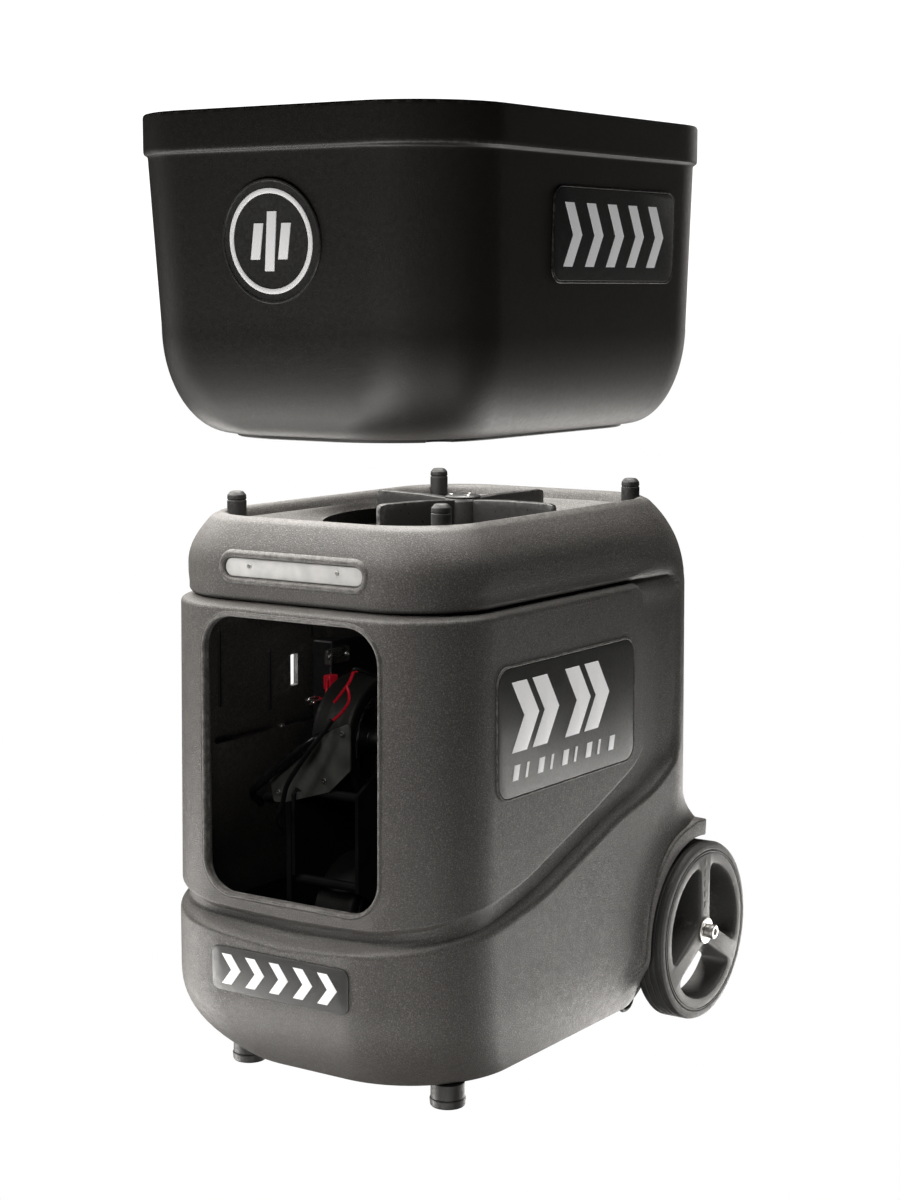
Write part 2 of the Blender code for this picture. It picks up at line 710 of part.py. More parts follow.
def motor(name, profile, axis, centre, segments, bore, parent=None):
    """Motor with a shaft hole; bore is start, end and radius."""
    ob = piece(name, turned(profile, axis, centre, segments),
               material(name + "_metal", **ALUMINIUM), parent)
    cut(ob, rod(axis, centre, *bore, 16))


def impeller_blade(angle):
    c, s = math.cos(angle), math.sin(angle)
    rings = []
    for r, half, z0, z1 in BLADE_STATIONS:
        outline = ((-half, z0), (half, z0), (half, z1 - 1), (half - 1, z1),
                   (-half + 1, z1), (-half, z1 - 1))
        rings.append([(r * c - w * s, WELL_Y + r * s + w * c, z) for w, z in outline])
    return skin(rings)


def build_feed():
    tray = piece("feed_tray", turned(TRAY_PROFILE, "Z", FEED_AXIS, 32),
                 material("feed_tray_plastic", colour=(0.03, 0.03, 0.03), roughness=0.5))
    cut(tray, rod("Z", (0, FEED_HOLE_Y), 500, 530, 38.5, 28))

    feed_pivot = pivot("feed_pivot", (*FEED_AXIS, 0))
    impeller = piece("impeller", turned(IMPELLER_HUB_PROFILE, "Z", FEED_AXIS, 32),
                     material("impeller_plastic", colour=(0.03, 0.03, 0.032), roughness=0.45),
                     feed_pivot)
    join(impeller, *[impeller_blade(math.radians(-9 + 90 * k)) for k in range(4)])
    piece("impeller_cap", turned(IMPELLER_CAP_PROFILE, "Z", FEED_AXIS, 32),
          material("impeller_cap_plastic", colour=(0.04, 0.04, 0.04), roughness=0.35),
          feed_pivot)
    motor("feed_motor", FEED_MOTOR_PROFILE, "Z", FEED_AXIS, 32, (497, 530, 5.5))


def build_ball_chute():
    """Pipe down from the tray's hole, bending forward to the head."""
    bend_z = 440
    path = [(0, FEED_HOLE_Y, z) for z in (514.5, 480, bend_z)]
    path += arc("X", (FEED_HOLE_Y - CHUTE_BEND_R, bend_z), CHUTE_BEND_R, 0, -66, 8)[1:]
    path += [(0, 20.0, 330.0), (0, 2.0, 322.0)]
    piece("ball_chute", sweep(path, 39.5, 12, inner=36.5),
          material("ball_chute_plastic", **BLACK))


# ==== swing base ====
# radius, z
TURNTABLE_PROFILE = [
    (0, 31.3), (70, 31.3), (70, 37), (26, 40), (20, 48.5), (9.6, 48.5), (9.6, 76), (0, 76),
]
# y, z of the bridge that carries the swing motor
MOTOR_BRIDGE = [
    (PINION_Y - 22, 60.0), (PINION_Y + 27, 60.0), (PINION_Y + 27, 34.3), (HEAD_Y + 40, 34.3),
    (HEAD_Y + 40, 31.3), (PINION_Y + 45, 31.3), (PINION_Y + 45, 34.3), (PINION_Y + 30, 34.3),
    (PINION_Y + 30, 63.0), (PINION_Y - 22, 63.0),
]
# radius, z and radius, x
SWING_MOTOR_PROFILE = [
    (0, 63.3), (18.5, 63.3), (18.5, 86), (17, 86.5), (17, 116), (15, 118), (0, 118),
]
TILT_MOTOR_PROFILE = [
    (0, 112.3), (17, 112.3), (17, 130), (15.5, 130.5), (15.5, 150), (13.5, 152), (0, 152),
]
# x, z
YOKE_OUTLINE = [
    (-YOKE_X, 57.4), (YOKE_X, 57.4), (YOKE_X, 292), (108, 296), (ARM_X, 296), (ARM_X, 70),
    (100, 63.4), (-100, 63.4), (-ARM_X, 70), (-ARM_X, 296), (-108, 296), (-YOKE_X, 292),
]


def build_gear_pair(name, axis, centre, pinion_centre, face, phase, span, bore_r, shaft, parent):
    """Toothed sector on the moving part and the pinion that drives it;
    face and shaft are start and end along the axis."""
    sector = piece(name + "_gear", gear(axis, centre, *face, GEAR_TEETH, phase, span),
                   material(name + "_gear_steel", **STEEL), parent)
    cut(sector, rod(axis, centre, face[0] - 5, face[1] + 5, bore_r, 24))
    pinion_pivot = pivot(name + "_pinion_pivot", axis_point(axis, *pinion_centre, 0))
    pinion_phase = phase + math.pi + math.pi / PINION_TEETH
    pinion = piece(name + "_pinion",
                   gear(axis, pinion_centre, *face, PINION_TEETH, pinion_phase),
                   material(name + "_pinion_steel", **STEEL), pinion_pivot)
    join(pinion, rod(axis, pinion_centre, *shaft, 3.0, 16))


def build_swing_base(swing_pivot):
    at = (0, PINION_Y)
    base = piece("turntable_base", turned(TURNTABLE_PROFILE, "Z", SWING_AXIS, 24),
                 material("turntable_metal", **ALUMINIUM))
    join(base, slab("X", MOTOR_BRIDGE, -20, 20))
    cut(base, rod("Z", at, 50, 70, 6.5, 20))
    build_gear_pair("swing", "Z", SWING_AXIS, at, face=(49.0, 57.0), phase=math.radians(90),
                    span=40, bore_r=10.0, shaft=(50, 68), parent=swing_pivot)
    motor("swing_motor", SWING_MOTOR_PROFILE, "Z", at, 18, (55, 72, 3.5))


def build_yoke(swing_pivot):
    yoke = piece("yoke", slab("Y", YOKE_OUTLINE, HEAD_Y - 24, HEAD_Y + 24),
                 material("yoke_metal", **BLACK), swing_pivot)
    # ear that carries the tilt motor, a hair thinner than the right arm
    ear = [(HEAD_Y + 10, 236), (-20, 240), (-20, 284), (HEAD_Y + 10, 288)]
    join(yoke, slab("X", ear, ARM_X + 0.001, YOKE_X - 0.001))
    cut(yoke, rod("X", TILT_AXIS, -125, 125, 9.3, 24),
        rod("Z", SWING_AXIS, 40, 80, 10.0, 24),
        rod("X", (PINION_Y, HEAD_Z), 95, 125, 5.0, 16))


def build_tilt_drive(swing_pivot, tilt_pivot):
    at = (PINION_Y, HEAD_Z)
    build_gear_pair("tilt", "X", TILT_AXIS, at, face=(96.0, 102.0), phase=0.0, span=42,
                    bore_r=9.3, shaft=(100, 118), parent=tilt_pivot)
    motor("tilt_motor", TILT_MOTOR_PROFILE, "X", at, 18, (105, 121, 3.5), swing_pivot)


# ==== launch head ====
# y, z
RIGHT_PLATE = [
    (-176, 128), (-124, 128), (-92, 190), (-62, 206), (-62, 318), (-92, 334), (-124, 396),
    (-176, 396), (-190, 330), (-224, 312), (-224, 212), (-190, 194),
]
LEFT_PLATE = [
    (-214, 210), (-72, 210), (-62, 220), (-62, 304), (-72, 314), (-214, 314), (-224, 304),
    (-224, 220),
]
# y, height above the ball line of the bars between the plates
CROSS_BARS = [(-70, 48), (-70, -48), (-216, 46), (-216, -46)]
# radius, x
HUB_PROFILE = [
    (0, -27), (11, -27), (13, -25), (13, -9), (44, -5), (47, -22), (51.5, -23.5), (51.5, 23.5),
    (47, 22), (44, 5), (13, 9), (13, 25), (4.0, 26), (4.0, 50), (0, 50),
]
LAUNCH_TYRE_PROFILE = [
    (52.4, -23.5), (63.5, -24), (LAUNCH_R, -22), (LAUNCH_R - 2.5, -10), (LAUNCH_R - 3.2, 0),
    (LAUNCH_R - 2.5, 10), (LAUNCH_R, 22), (63.5, 24), (52.4, 23.5),
]
LAUNCH_MOTOR_PROFILE = [
    (0, 42.3), (26, 42.3), (28, 44), (28, 84), (26, 86), (10, 86), (10, 91.5), (0, 91.5),
]
# radius, y
GUIDE_PROFILE = [
    (35.5, -82), (38.0, -82), (38.0, -62), (51.5, -30), (49.5, -30), (35.5, -62),
]


def build_head_frame(tilt_pivot):
    outer_x = PLATE_X + PLATE_THICK
    head = piece("head_frame", slab("X", RIGHT_PLATE, PLATE_X, outer_x),
                 material("head_frame_metal", **BLACK), tilt_pivot)
    join(head, slab("X", LEFT_PLATE, -outer_x, -PLATE_X),
         *[rod("X", (y, HEAD_Z + up), -PLATE_X - 2, PLATE_X + 2, 5.0, 12)
           for y, up in CROSS_BARS],
         # stub shafts the head tilts on
         rod("X", TILT_AXIS, PLATE_X + 1, 111, 9.0, 24),
         rod("X", TILT_AXIS, -111, -PLATE_X - 1, 9.0, 24))
    cut(head, *[rod("X", (LAUNCH_Y, HEAD_Z + s * LAUNCH_PITCH), 30, 50, 6.0, 16)
                for s in (-1, 1)])


def build_launch_wheel(name, z, tilt_pivot):
    at = (LAUNCH_Y, z)
    wheel_pivot = pivot(name + "_launch_pivot", (0, *at), tilt_pivot)
    piece(name + "_launch_hub", turned(HUB_PROFILE, "X", at, 20),
          material(name + "_launch_hub_metal", **ALUMINIUM), wheel_pivot)
    piece(name + "_launch_tyre", turned(LAUNCH_TYRE_PROFILE, "X", at, 28),
          material(name + "_launch_tyre_rubber", colour=(0.62, 0.56, 0.44), roughness=0.6),
          wheel_pivot)
    motor(name + "_motor", LAUNCH_MOTOR_PROFILE, "X", at, 20, (38, 54, 4.5), tilt_pivot)


def build_head():
    swing_pivot = pivot("swing_pivot", (*SWING_AXIS, 0))
    tilt_pivot = pivot("tilt_pivot", (0, *TILT_AXIS))
    build_swing_base(swing_pivot)
    build_yoke(swing_pivot)
    build_head_frame(tilt_pivot)
    build_launch_wheel("upper", HEAD_Z + LAUNCH_PITCH, tilt_pivot)
    build_launch_wheel("lower", HEAD_Z - LAUNCH_PITCH, tilt_pivot)
    piece("ball_guide", turned(GUIDE_PROFILE, "Y", (0, HEAD_Z), 20),
          material("ball_guide_plastic", **BLACK), tilt_pivot)
    build_tilt_drive(swing_pivot, tilt_pivot)


# ==== power and control ====
# y, z
SWITCH_OUTLINE = [(250.0, 409.0), (250.0, 427.0), (256.8, 426.4), (255.6, 418), (258.4, 409.6)]
# radius, y
BUTTON_PROFILE = [(0, 246), (9.8, 246), (9.8, 257.4), (8.6, 258.4), (0, 258.4)]
SOCKET_PROFILE = [
    (4.5, 244), (11.0, 244), (11.0, 255.2), (14, 255.2), (14, 257.4), (4.5, 257.4),
]
# x, y, z
RED_WIRE_PATH = [
    (-152, -14, 372), (-147, -22, 381), (-141, -32, 385), (-135, -41, 380), (-131, -47, 366),
    (-131, -51, 348), (-133, -54, 328),
]
BLACK_WIRE_PATH = [
    (-146.9, 14, 352), (-137, -6, 342), (-126, -30, 318), (-120, -56, 280), (-128, -70, 230),
    (-134, -74, 160), (-120, -40, 90), (-96, -10, 60), (-88, 20, 50),
]


def build_power():
    piece("battery", box((-82, 15, 31.4), (82, 95, 128), 3, 2),
          material("battery_case", colour=(0.05, 0.05, 0.055), roughness=0.5))
    piece("controller_box", box((-178.4, -10, 330), (-150, 85, 425), 2.5, 2),
          material("controller_case", colour=(0.03, 0.03, 0.03), roughness=0.4))
    piece("wire_red", sweep(RED_WIRE_PATH, 1.8, 8),
          material("wire_red_sheath", colour=(0.7, 0.03, 0.05), roughness=0.4))
    piece("wire_black", sweep(BLACK_WIRE_PATH, 2.6, 8),
          material("wire_black_sheath", **RUBBER))


def build_rear_panel():
    panel = piece("rear_panel", slab("Y", rear_outline(0.4), 251.2, 254.8),
                  material("rear_panel_plastic", colour=(0.03, 0.03, 0.03), roughness=0.4))
    cut(panel, box((-40, 240, SWITCH_Z - 10), (-12, 270, SWITCH_Z + 10)),
        rod("Y", (BUTTON_X, SWITCH_Z), 240, 270, 10.4, 24),
        rod("Y", (0, SOCKET_Z), 240, 270, 11.4, 24))
    piece("power_switch", slab("X", SWITCH_OUTLINE, -39, -13),
          material("power_switch_plastic", colour=(0.5, 0.03, 0.03), roughness=0.35),
          pivot("power_switch_pivot", (0, SWITCH_Y, SWITCH_Z)))
    piece("start_button", turned(BUTTON_PROFILE, "Y", (BUTTON_X, SWITCH_Z), 16),
          material("start_button_plastic", colour=(0.05, 0.3, 0.08), roughness=0.35),
          pivot("start_button_pivot", (BUTTON_X, SWITCH_Y, SWITCH_Z)))
    piece("charge_socket", turned(SOCKET_PROFILE, "Y", (0, SOCKET_Z), 16),
          material("charge_socket_plastic", **BLACK))


# ==== tow handle ====
def handle_bracket(z):
    return slab("Z", rounded(-97, 97, BODY_REAR + GAP, HANDLE_Y + 14, 6, 3), z, z + 22)


def build_handle_mount():
    """Upper and lower brackets joined by the two tubes the handle slides in."""
    legs = [(s * HANDLE_X, HANDLE_Y) for s in (-1, 1)]
    mount = piece("handle_mount", handle_bracket(470),
                  material("handle_mount_plastic", **BLACK))
    lower = helper(handle_bracket(150))
    for bracket in (mount, lower):
        cut(bracket, *[rod("Z", at, 130, 515, 9.3, 14) for at in legs])
    join(mount, *[tube("Z", at, 140, 505, 8.1, 10.5, 14) for at in legs], lower)


def build_handle():
    bend_x, bend_z = HANDLE_X - HANDLE_BEND_R, HANDLE_Z - HANDLE_BEND_R
    path = [(-HANDLE_X, HANDLE_Y, z) for z in (152, 330, bend_z)]
    path += arc("Y", (-bend_x, bend_z), HANDLE_BEND_R, 180, 90, 5, HANDLE_Y)[1:]
    path += arc("Y", (bend_x, bend_z), HANDLE_BEND_R, 90, 0, 5, HANDLE_Y)
    path += [(HANDLE_X, HANDLE_Y, z) for z in (330, 152)]
    piece("handle_frame", sweep(path, 7.7, 12), material("handle_frame_metal", **ALUMINIUM))

    grip = piece("handle_grip", tube("X", (HANDLE_Y, HANDLE_Z), -48, 48, 8.1, 13.5, 24),
                 material("handle_grip_rubber", **RUBBER))
    cut(grip, box((-11, HANDLE_Y - 5, HANDLE_Z + 5), (11, HANDLE_Y + 5, HANDLE_Z + 20)))
    button = box((-10.4, HANDLE_Y - 4.4, HANDLE_Z + 10.4),
                 (10.4, HANDLE_Y + 4.4, HANDLE_Z + 16.5), 1.2)
    piece("handle_button", button,
          material("handle_button_plastic", colour=(0.5, 0.5, 0.5), roughness=0.4))


# ==== build ====
for old_object in list(bpy.data.objects):
    bpy.data.objects.remove(old_object, do_unlink=True)

build_body_shell()
build_base_plate()
build_hopper()
build_badges()
build_light_lens()
build_posts_and_feet()
build_axle()
for side, side_name in SIDES:
    build_wheel(side, side_name)
    build_axle_fixings(side, side_name)
build_tie_loop()
build_feed()
build_ball_chute()
build_head()
build_power()
build_rear_panel()
build_handle_mount()
build_handle()
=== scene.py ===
"""Ball launcher: a moulded body on two wheels and two feet, with a hopper on top.

The front faces -y and right is +x. z runs up from the floor at 0.
Sizes are in millimetres; add() turns them into metres.
In outlines and profiles, u and v are the coordinates across an axis
(yz for X, xz for Y, xy for Z) and w is the one along it.
"""
import json
import math
from math import pi

import bmesh
import bpy
import numpy as np
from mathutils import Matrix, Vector

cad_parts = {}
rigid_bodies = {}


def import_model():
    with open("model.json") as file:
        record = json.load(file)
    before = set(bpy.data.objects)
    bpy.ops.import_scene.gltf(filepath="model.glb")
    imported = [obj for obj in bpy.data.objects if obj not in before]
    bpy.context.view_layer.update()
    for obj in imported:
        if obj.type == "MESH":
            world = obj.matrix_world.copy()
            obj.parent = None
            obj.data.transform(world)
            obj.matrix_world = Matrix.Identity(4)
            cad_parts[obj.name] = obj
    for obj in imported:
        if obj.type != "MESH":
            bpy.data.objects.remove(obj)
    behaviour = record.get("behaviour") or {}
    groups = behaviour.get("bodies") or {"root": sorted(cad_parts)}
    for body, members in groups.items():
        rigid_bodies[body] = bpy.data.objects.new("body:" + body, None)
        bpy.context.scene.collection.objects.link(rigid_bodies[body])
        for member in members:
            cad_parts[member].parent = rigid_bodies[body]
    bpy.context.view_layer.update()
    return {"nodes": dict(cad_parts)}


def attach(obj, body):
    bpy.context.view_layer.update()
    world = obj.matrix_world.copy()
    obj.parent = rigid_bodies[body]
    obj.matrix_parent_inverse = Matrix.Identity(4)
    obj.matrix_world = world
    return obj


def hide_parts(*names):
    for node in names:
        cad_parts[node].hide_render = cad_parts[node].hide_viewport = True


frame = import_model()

MM = 0.001

SIDES = ((1, "right"), (-1, "left"))

# body: half width, front, rear and corner radius of the panel level
HALF_W, FRONT_Y, REAR_Y, CORNER = 184.0, -281.5, 255.5, 90.0
LOWER_FRONT_Y = -299.5
AXLE = AXLE_Y, AXLE_Z = 208.5, 100.0
WELL_Y, WELL_R = 26.5, 133.0           # round well for the feed wheel
WELL = (0, WELL_Y)
POSTS = [(x, y) for x in (-127.0, 127.0) for y in (-201.5, 166.5)]

# the panel walls lean outwards by DRAFT over DRAFT_H below DRAFT_TOP
DRAFT, DRAFT_TOP, DRAFT_H = 2.0, 488.0, 295.0
# how far the lower body draws in at the sides, front and rear
SIDE_TUCK, FRONT_TUCK, REAR_TUCK = 29, 54, 16


# ==========================================================================
# shader nodes
# ==========================================================================
def new_material(name):
    mat = bpy.data.materials.new(name)
    mat.use_nodes = True
    return mat, mat.node_tree, mat.node_tree.nodes["Principled BSDF"]


def node(tree, kind, **values):
    made = tree.nodes.new(kind)
    for key, value in values.items():
        made.inputs[key].default_value = value
    return made


def feed(tree, socket, value):
    """Link a socket, or set it to a number or an RGB tuple."""
    if isinstance(value, bpy.types.NodeSocket):
        tree.links.new(value, socket)
    else:
        socket.default_value = (*value, 1.0) if isinstance(value, tuple) else value


def calc(tree, operation, *operands):
    made = tree.nodes.new("ShaderNodeMath")
    made.operation = operation
    for socket, value in zip(made.inputs, operands):
        feed(tree, socket, value)
    return made.outputs[0]


def mix_rgb(tree, factor, first, second):
    made = tree.nodes.new("ShaderNodeMix")
    made.data_type = "RGBA"
    for index, value in ((0, factor), (6, first), (7, second)):
        feed(tree, made.inputs[index], value)
    return made.outputs[2]


def ramp(tree, source, *stops):
    """Grey ramp between two (position, level) stops."""
    made = tree.nodes.new("ShaderNodeValToRGB")
    for element, (position, level) in zip(made.color_ramp.elements, stops):
        element.position = position
        element.color = (level, level, level, 1)
    tree.links.new(source, made.inputs[0])
    return made.outputs[0]


def remap(tree, source, span, target):
    made = tree.nodes.new("ShaderNodeMapRange")
    tree.links.new(source, made.inputs[0])
    for i, value in enumerate((*span, *target)):
        made.inputs[i + 1].default_value = value
    return made.outputs[0]


def object_coord(tree):
    return tree.nodes.new("ShaderNodeTexCoord").outputs["Object"]


def noise(tree, coord, scale, detail=3.0, rough=0.5):
    made = node(tree, "ShaderNodeTexNoise", Scale=scale, Detail=detail, Roughness=rough)
    tree.links.new(coord, made.inputs["Vector"])
    return made.outputs["Fac"]


def wave(tree, coord, **values):
    made = node(tree, "ShaderNodeTexWave", **values)
    tree.links.new(coord, made.inputs["Vector"])
    return made.outputs["Fac"]


def bump(tree, height, strength, distance, under=None):
    made = node(tree, "ShaderNodeBump", Strength=strength, Distance=distance)
    tree.links.new(height, made.inputs["Height"])
    if under is not None:
        tree.links.new(under, made.inputs["Normal"])
    return made.outputs["Normal"]


def scaled(rgb, factor, plus=0.0):
    return tuple(min(1, c * factor + plus) for c in rgb)


# ==========================================================================
# materials
# ==========================================================================
def plastic(name, rgb, rough, grain_mm, grain, speckle, cloud, wear,
            wear_rgb=(0.32, 0.31, 0.30), coat=0.0, rough_var=0.12, scratches=0.0, dust=0.0,
            specular=0.5):
    """Moulded plastic: pebbled grain, pale speckle, cloudy tone, worn edges."""
    mat, tree, shader = new_material(name)
    coord = object_coord(tree)
    fine = noise(tree, coord, scale=1.0 / (grain_mm * MM), detail=2.0, rough=0.55)
    mid = noise(tree, coord, scale=1.0 / (grain_mm * 6 * MM))
    big = noise(tree, coord, scale=9.0, detail=4.0)
    colour = mix_rgb(tree, remap(tree, big, (0.3, 0.7), (0, 1)),
                     scaled(rgb, 1 - cloud), scaled(rgb, 1 + cloud))
    # pale and dark speckle from the grain
    colour = mix_rgb(tree, ramp(tree, fine, (0.52, 0.0), (0.72, 1.0)), colour,
                     scaled(rgb, 1 + speckle * 2.2, plus=0.006))
    colour = mix_rgb(tree, ramp(tree, fine, (0.28, 1.0), (0.44, 0.0)), colour,
                     scaled(rgb, 1 - speckle * 0.8))
    if wear or dust:
        geometry = tree.nodes.new("ShaderNodeNewGeometry")
    if wear:
        edge = ramp(tree, geometry.outputs["Pointiness"], (0.515, 0.0), (0.56, 1.0))
        patch = ramp(tree, mid, (0.42, 0.0), (0.62, 1.0))
        worn = calc(tree, "MULTIPLY", calc(tree, "MULTIPLY", edge, patch), wear)
        colour = mix_rgb(tree, worn, colour, wear_rgb)
    if dust:                                         # settles on faces that look up
        normal = tree.nodes.new("ShaderNodeSeparateXYZ")
        tree.links.new(geometry.outputs["Normal"], normal.inputs[0])
        upward = remap(tree, normal.outputs[2], (0.55, 1.0), (0, dust))
        dusty = calc(tree, "MULTIPLY", upward, ramp(tree, mid, (0.35, 0.2), (0.7, 1.0)))
        colour = mix_rgb(tree, dusty, colour, (0.30, 0.29, 0.27))
    tree.links.new(colour, shader.inputs["Base Color"])
    roughness = remap(tree, mid, (0.25, 0.75),
                      (max(0.05, rough - rough_var), min(1.0, rough + rough_var)))
    if scratches:
        lines = wave(tree, coord, Scale=60.0, Distortion=18.0, Detail=4.0)
        roughness = calc(tree, "MULTIPLY_ADD", ramp(tree, lines, (0.90, 0.0), (1.0, 1.0)),
                         scratches, roughness)
    tree.links.new(roughness, shader.inputs["Roughness"])
    shader.inputs["Specular IOR Level"].default_value = specular
    shader.inputs["Coat Weight"].default_value = coat
    shader.inputs["Coat Roughness"].default_value = 0.15
    pebble = bump(tree, fine, strength=grain, distance=grain_mm * 0.35 * MM)
    ripple = bump(tree, mid, strength=min(0.08, grain * 0.35), distance=1.2 * MM, under=pebble)
    tree.links.new(ripple, shader.inputs["Normal"])
    return mat


def metal(name, rgb, rough, brushed=None, var=0.12, metallic=1.0, specular=0.5):
    """Machined, plated or coated metal: streaks, smudges in the roughness."""
    mat, tree, shader = new_material(name)
    coord = streaked = object_coord(tree)
    if brushed:
        mapping = node(tree, "ShaderNodeMapping", Scale=brushed)
        tree.links.new(coord, mapping.inputs["Vector"])
        streaked = mapping.outputs["Vector"]
    fine = noise(tree, streaked, scale=900.0)
    big = noise(tree, coord, scale=45.0)
    colour = mix_rgb(tree, remap(tree, big, (0.3, 0.7), (0, 1)),
                     scaled(rgb, 1 - var), scaled(rgb, 1 + var))
    colour = mix_rgb(tree, ramp(tree, fine, (0.3, 0.25), (0.7, 0.0)), colour, scaled(rgb, 0.7))
    tree.links.new(colour, shader.inputs["Base Color"])
    shader.inputs["Metallic"].default_value = metallic
    shader.inputs["Specular IOR Level"].default_value = specular
    smudge = remap(tree, big, (0.3, 0.7), (max(0.02, rough - 0.16), rough))
    tree.links.new(calc(tree, "MULTIPLY_ADD", fine, 0.22, smudge), shader.inputs["Roughness"])
    tree.links.new(bump(tree, fine, strength=0.12, distance=0.0002), shader.inputs["Normal"])
    return mat


def base_colour(mat):
    shader = mat.node_tree.nodes["Principled BSDF"]
    return mat.node_tree, shader, shader.inputs["Base Color"].links[0].from_socket


def add_glow(mat, strength):
    """Painted glow: the white marks give off a little of their own tone, so they stay bright in the
    shade.
    """
    tree, shader, colour = base_colour(mat)
    tree.links.new(colour, shader.inputs["Emission Color"])
    shader.inputs["Emission Strength"].default_value = strength


def tint_sidewall(mat, rgb):
    """Lighter satin flank: faces turned along x take another tone."""
    tree, shader, colour = base_colour(mat)
    normal = tree.nodes.new("ShaderNodeSeparateXYZ")
    geometry = tree.nodes.new("ShaderNodeNewGeometry")
    tree.links.new(geometry.outputs["Normal"], normal.inputs[0])
    flank = ramp(tree, calc(tree, "ABSOLUTE", normal.outputs[0]), (0.45, 0.0), (0.8, 1.0))
    tree.links.new(mix_rgb(tree, flank, colour, rgb), shader.inputs["Base Color"])


def lens_plastic(name):
    """Pale clear plastic with fine flutes across x."""
    mat, tree, shader = new_material(name)
    coord = object_coord(tree)
    flutes = wave(tree, coord, Scale=260.0, Distortion=0.4, Detail=1.0)
    flutes.node.bands_direction = "X"
    cloud = noise(tree, coord, scale=60.0)
    colour = mix_rgb(tree, remap(tree, cloud, (0.3, 0.7), (0, 1)),
                     (0.42, 0.42, 0.415), (0.58, 0.58, 0.575))
    colour = mix_rgb(tree, ramp(tree, flutes, (0.2, 0.3), (0.8, 0.0)), colour, (0.50, 0.50, 0.50))
    tree.links.new(colour, shader.inputs["Base Color"])
    shader.inputs["Roughness"].default_value = 0.22
    shader.inputs["Transmission Weight"].default_value = 0.08
    shader.inputs["Coat Weight"].default_value = 0.5
    tree.links.new(bump(tree, flutes, strength=0.3, distance=0.0006), shader.inputs["Normal"])
    return mat


# finish: name, colour, roughness, grain size in mm, grain depth, speckle,
# clouding, edge wear, then anything that is not standard
PLASTICS = {
    "body": ("body_pe", (0.050, 0.047, 0.0445), 0.54, 1.3, 1.0, 0.75, 0.12, 0.30,
             dict(rough_var=0.06, dust=0.06)),
    # inside walls near black: painted shade for the dim inside of the body
    "cavity": ("body_inner", (0.004, 0.0038, 0.0038), 0.62, 1.5, 0.35, 0.2, 0.1, 0.0, {}),
    "hopper": ("hopper_pe", (0.0125, 0.0108, 0.0098), 0.46, 0.9, 0.30, 0.45, 0.10, 0.22,
               dict(rough_var=0.04)),
    "badge": ("badge_film", (0.026, 0.026, 0.026), 0.40, 0.6, 0.10, 0.25, 0.10, 0.0,
              dict(coat=0.25, scratches=0.06)),
    "white": ("badge_white", (0.74, 0.74, 0.75), 0.42, 0.7, 0.06, 0.03, 0.04, 0.0, {}),
    "rubber": ("black_rubber", (0.012, 0.012, 0.012), 0.52, 0.5, 0.25, 0.3, 0.25, 0.25,
               dict(wear_rgb=(0.10, 0.10, 0.10))),
    "tread": ("tyre_rubber", (0.014, 0.014, 0.014), 0.62, 0.8, 0.35, 0.35, 0.25, 0.35,
              dict(wear_rgb=(0.12, 0.115, 0.11))),
    "wheel": ("wheel_rim", (0.070, 0.069, 0.067), 0.52, 0.8, 0.14, 0.22, 0.12, 0.25,
              dict(scratches=0.05, specular=0.30)),
    "black": ("black_moulding", (0.013, 0.013, 0.0135), 0.42, 0.9, 0.20, 0.25, 0.20, 0.25,
              dict(wear_rgb=(0.034, 0.034, 0.034), scratches=0.04)),
    "panel": ("panel_film", (0.016, 0.016, 0.017), 0.34, 0.7, 0.08, 0.15, 0.1, 0.15,
              dict(wear_rgb=(0.040, 0.040, 0.040), coat=0.3, scratches=0.05)),
    "feed": ("feed_moulding", (0.024, 0.0235, 0.023), 0.36, 0.9, 0.18, 0.25, 0.15, 0.35, {}),
    "battery": ("battery_case", (0.022, 0.022, 0.026), 0.4, 1.0, 0.2, 0.25, 0.2, 0.3,
                dict(wear_rgb=(0.050, 0.050, 0.054))),
    # launch tyres darkened to near black: painted shade for the dim inside, not their own paler tone
    "tyre_launch": ("launch_tread", (0.020, 0.0195, 0.019), 0.50, 0.8, 0.3, 0.2, 0.18, 0.25,
                    dict(wear_rgb=(0.07, 0.07, 0.068), specular=0.25)),
    "red": ("red_sheath", (0.62, 0.012, 0.03), 0.32, 0.6, 0.08, 0.1, 0.1, 0.0, {}),
    "cable": ("black_sheath", (0.013, 0.013, 0.013), 0.38, 0.6, 0.15, 0.2, 0.2, 0.0, {}),
    "switch": ("switch_red", (0.42, 0.015, 0.015), 0.3, 0.6, 0.05, 0.1, 0.1, 0.3,
               dict(wear_rgb=(0.47, 0.06, 0.055), scratches=0.05)),
    "button": ("button_green", (0.02, 0.22, 0.06), 0.3, 0.6, 0.05, 0.1, 0.1, 0.3,
               dict(wear_rgb=(0.05, 0.27, 0.10), scratches=0.05)),
    "greybtn": ("button_grey", (0.30, 0.30, 0.30), 0.35, 0.6, 0.05, 0.1, 0.1, 0.3,
                dict(wear_rgb=(0.36, 0.36, 0.36), scratches=0.05)),
}
# finish: name, colour, roughness, then anything that is not standard
METALS = {
    "steel": ("zinc_steel", (0.62, 0.61, 0.59), 0.30, {}),
    "gear": ("gear_steel", (0.40, 0.40, 0.41), 0.34, {}),
    "motor": ("motor_can", (0.34, 0.34, 0.345), 0.36, {}),
    "alu": ("anodised_tube", (0.46, 0.46, 0.47), 0.30, dict(brushed=(1, 1, 0.05))),
    "hub": ("turned_hub", (0.42, 0.42, 0.43), 0.28, dict(brushed=(0.05, 1, 1))),
    # black coat of the head parts, darkened further as painted shade for the dim inside of the body
    "coat": ("powder_coat", (0.018, 0.018, 0.019), 0.5,
             dict(var=0.3, metallic=0.0, specular=0.12)),
    "clip": ("clip_steel", (0.8, 0.8, 0.8), 0.2, {}),
    "cover": ("grey_coat", (0.16, 0.165, 0.155), 0.42, dict(var=0.35, metallic=0.0)),
    "stay": ("gloss_coat", (0.012, 0.012, 0.012), 0.22, dict(var=0.3, metallic=0.0)),
}
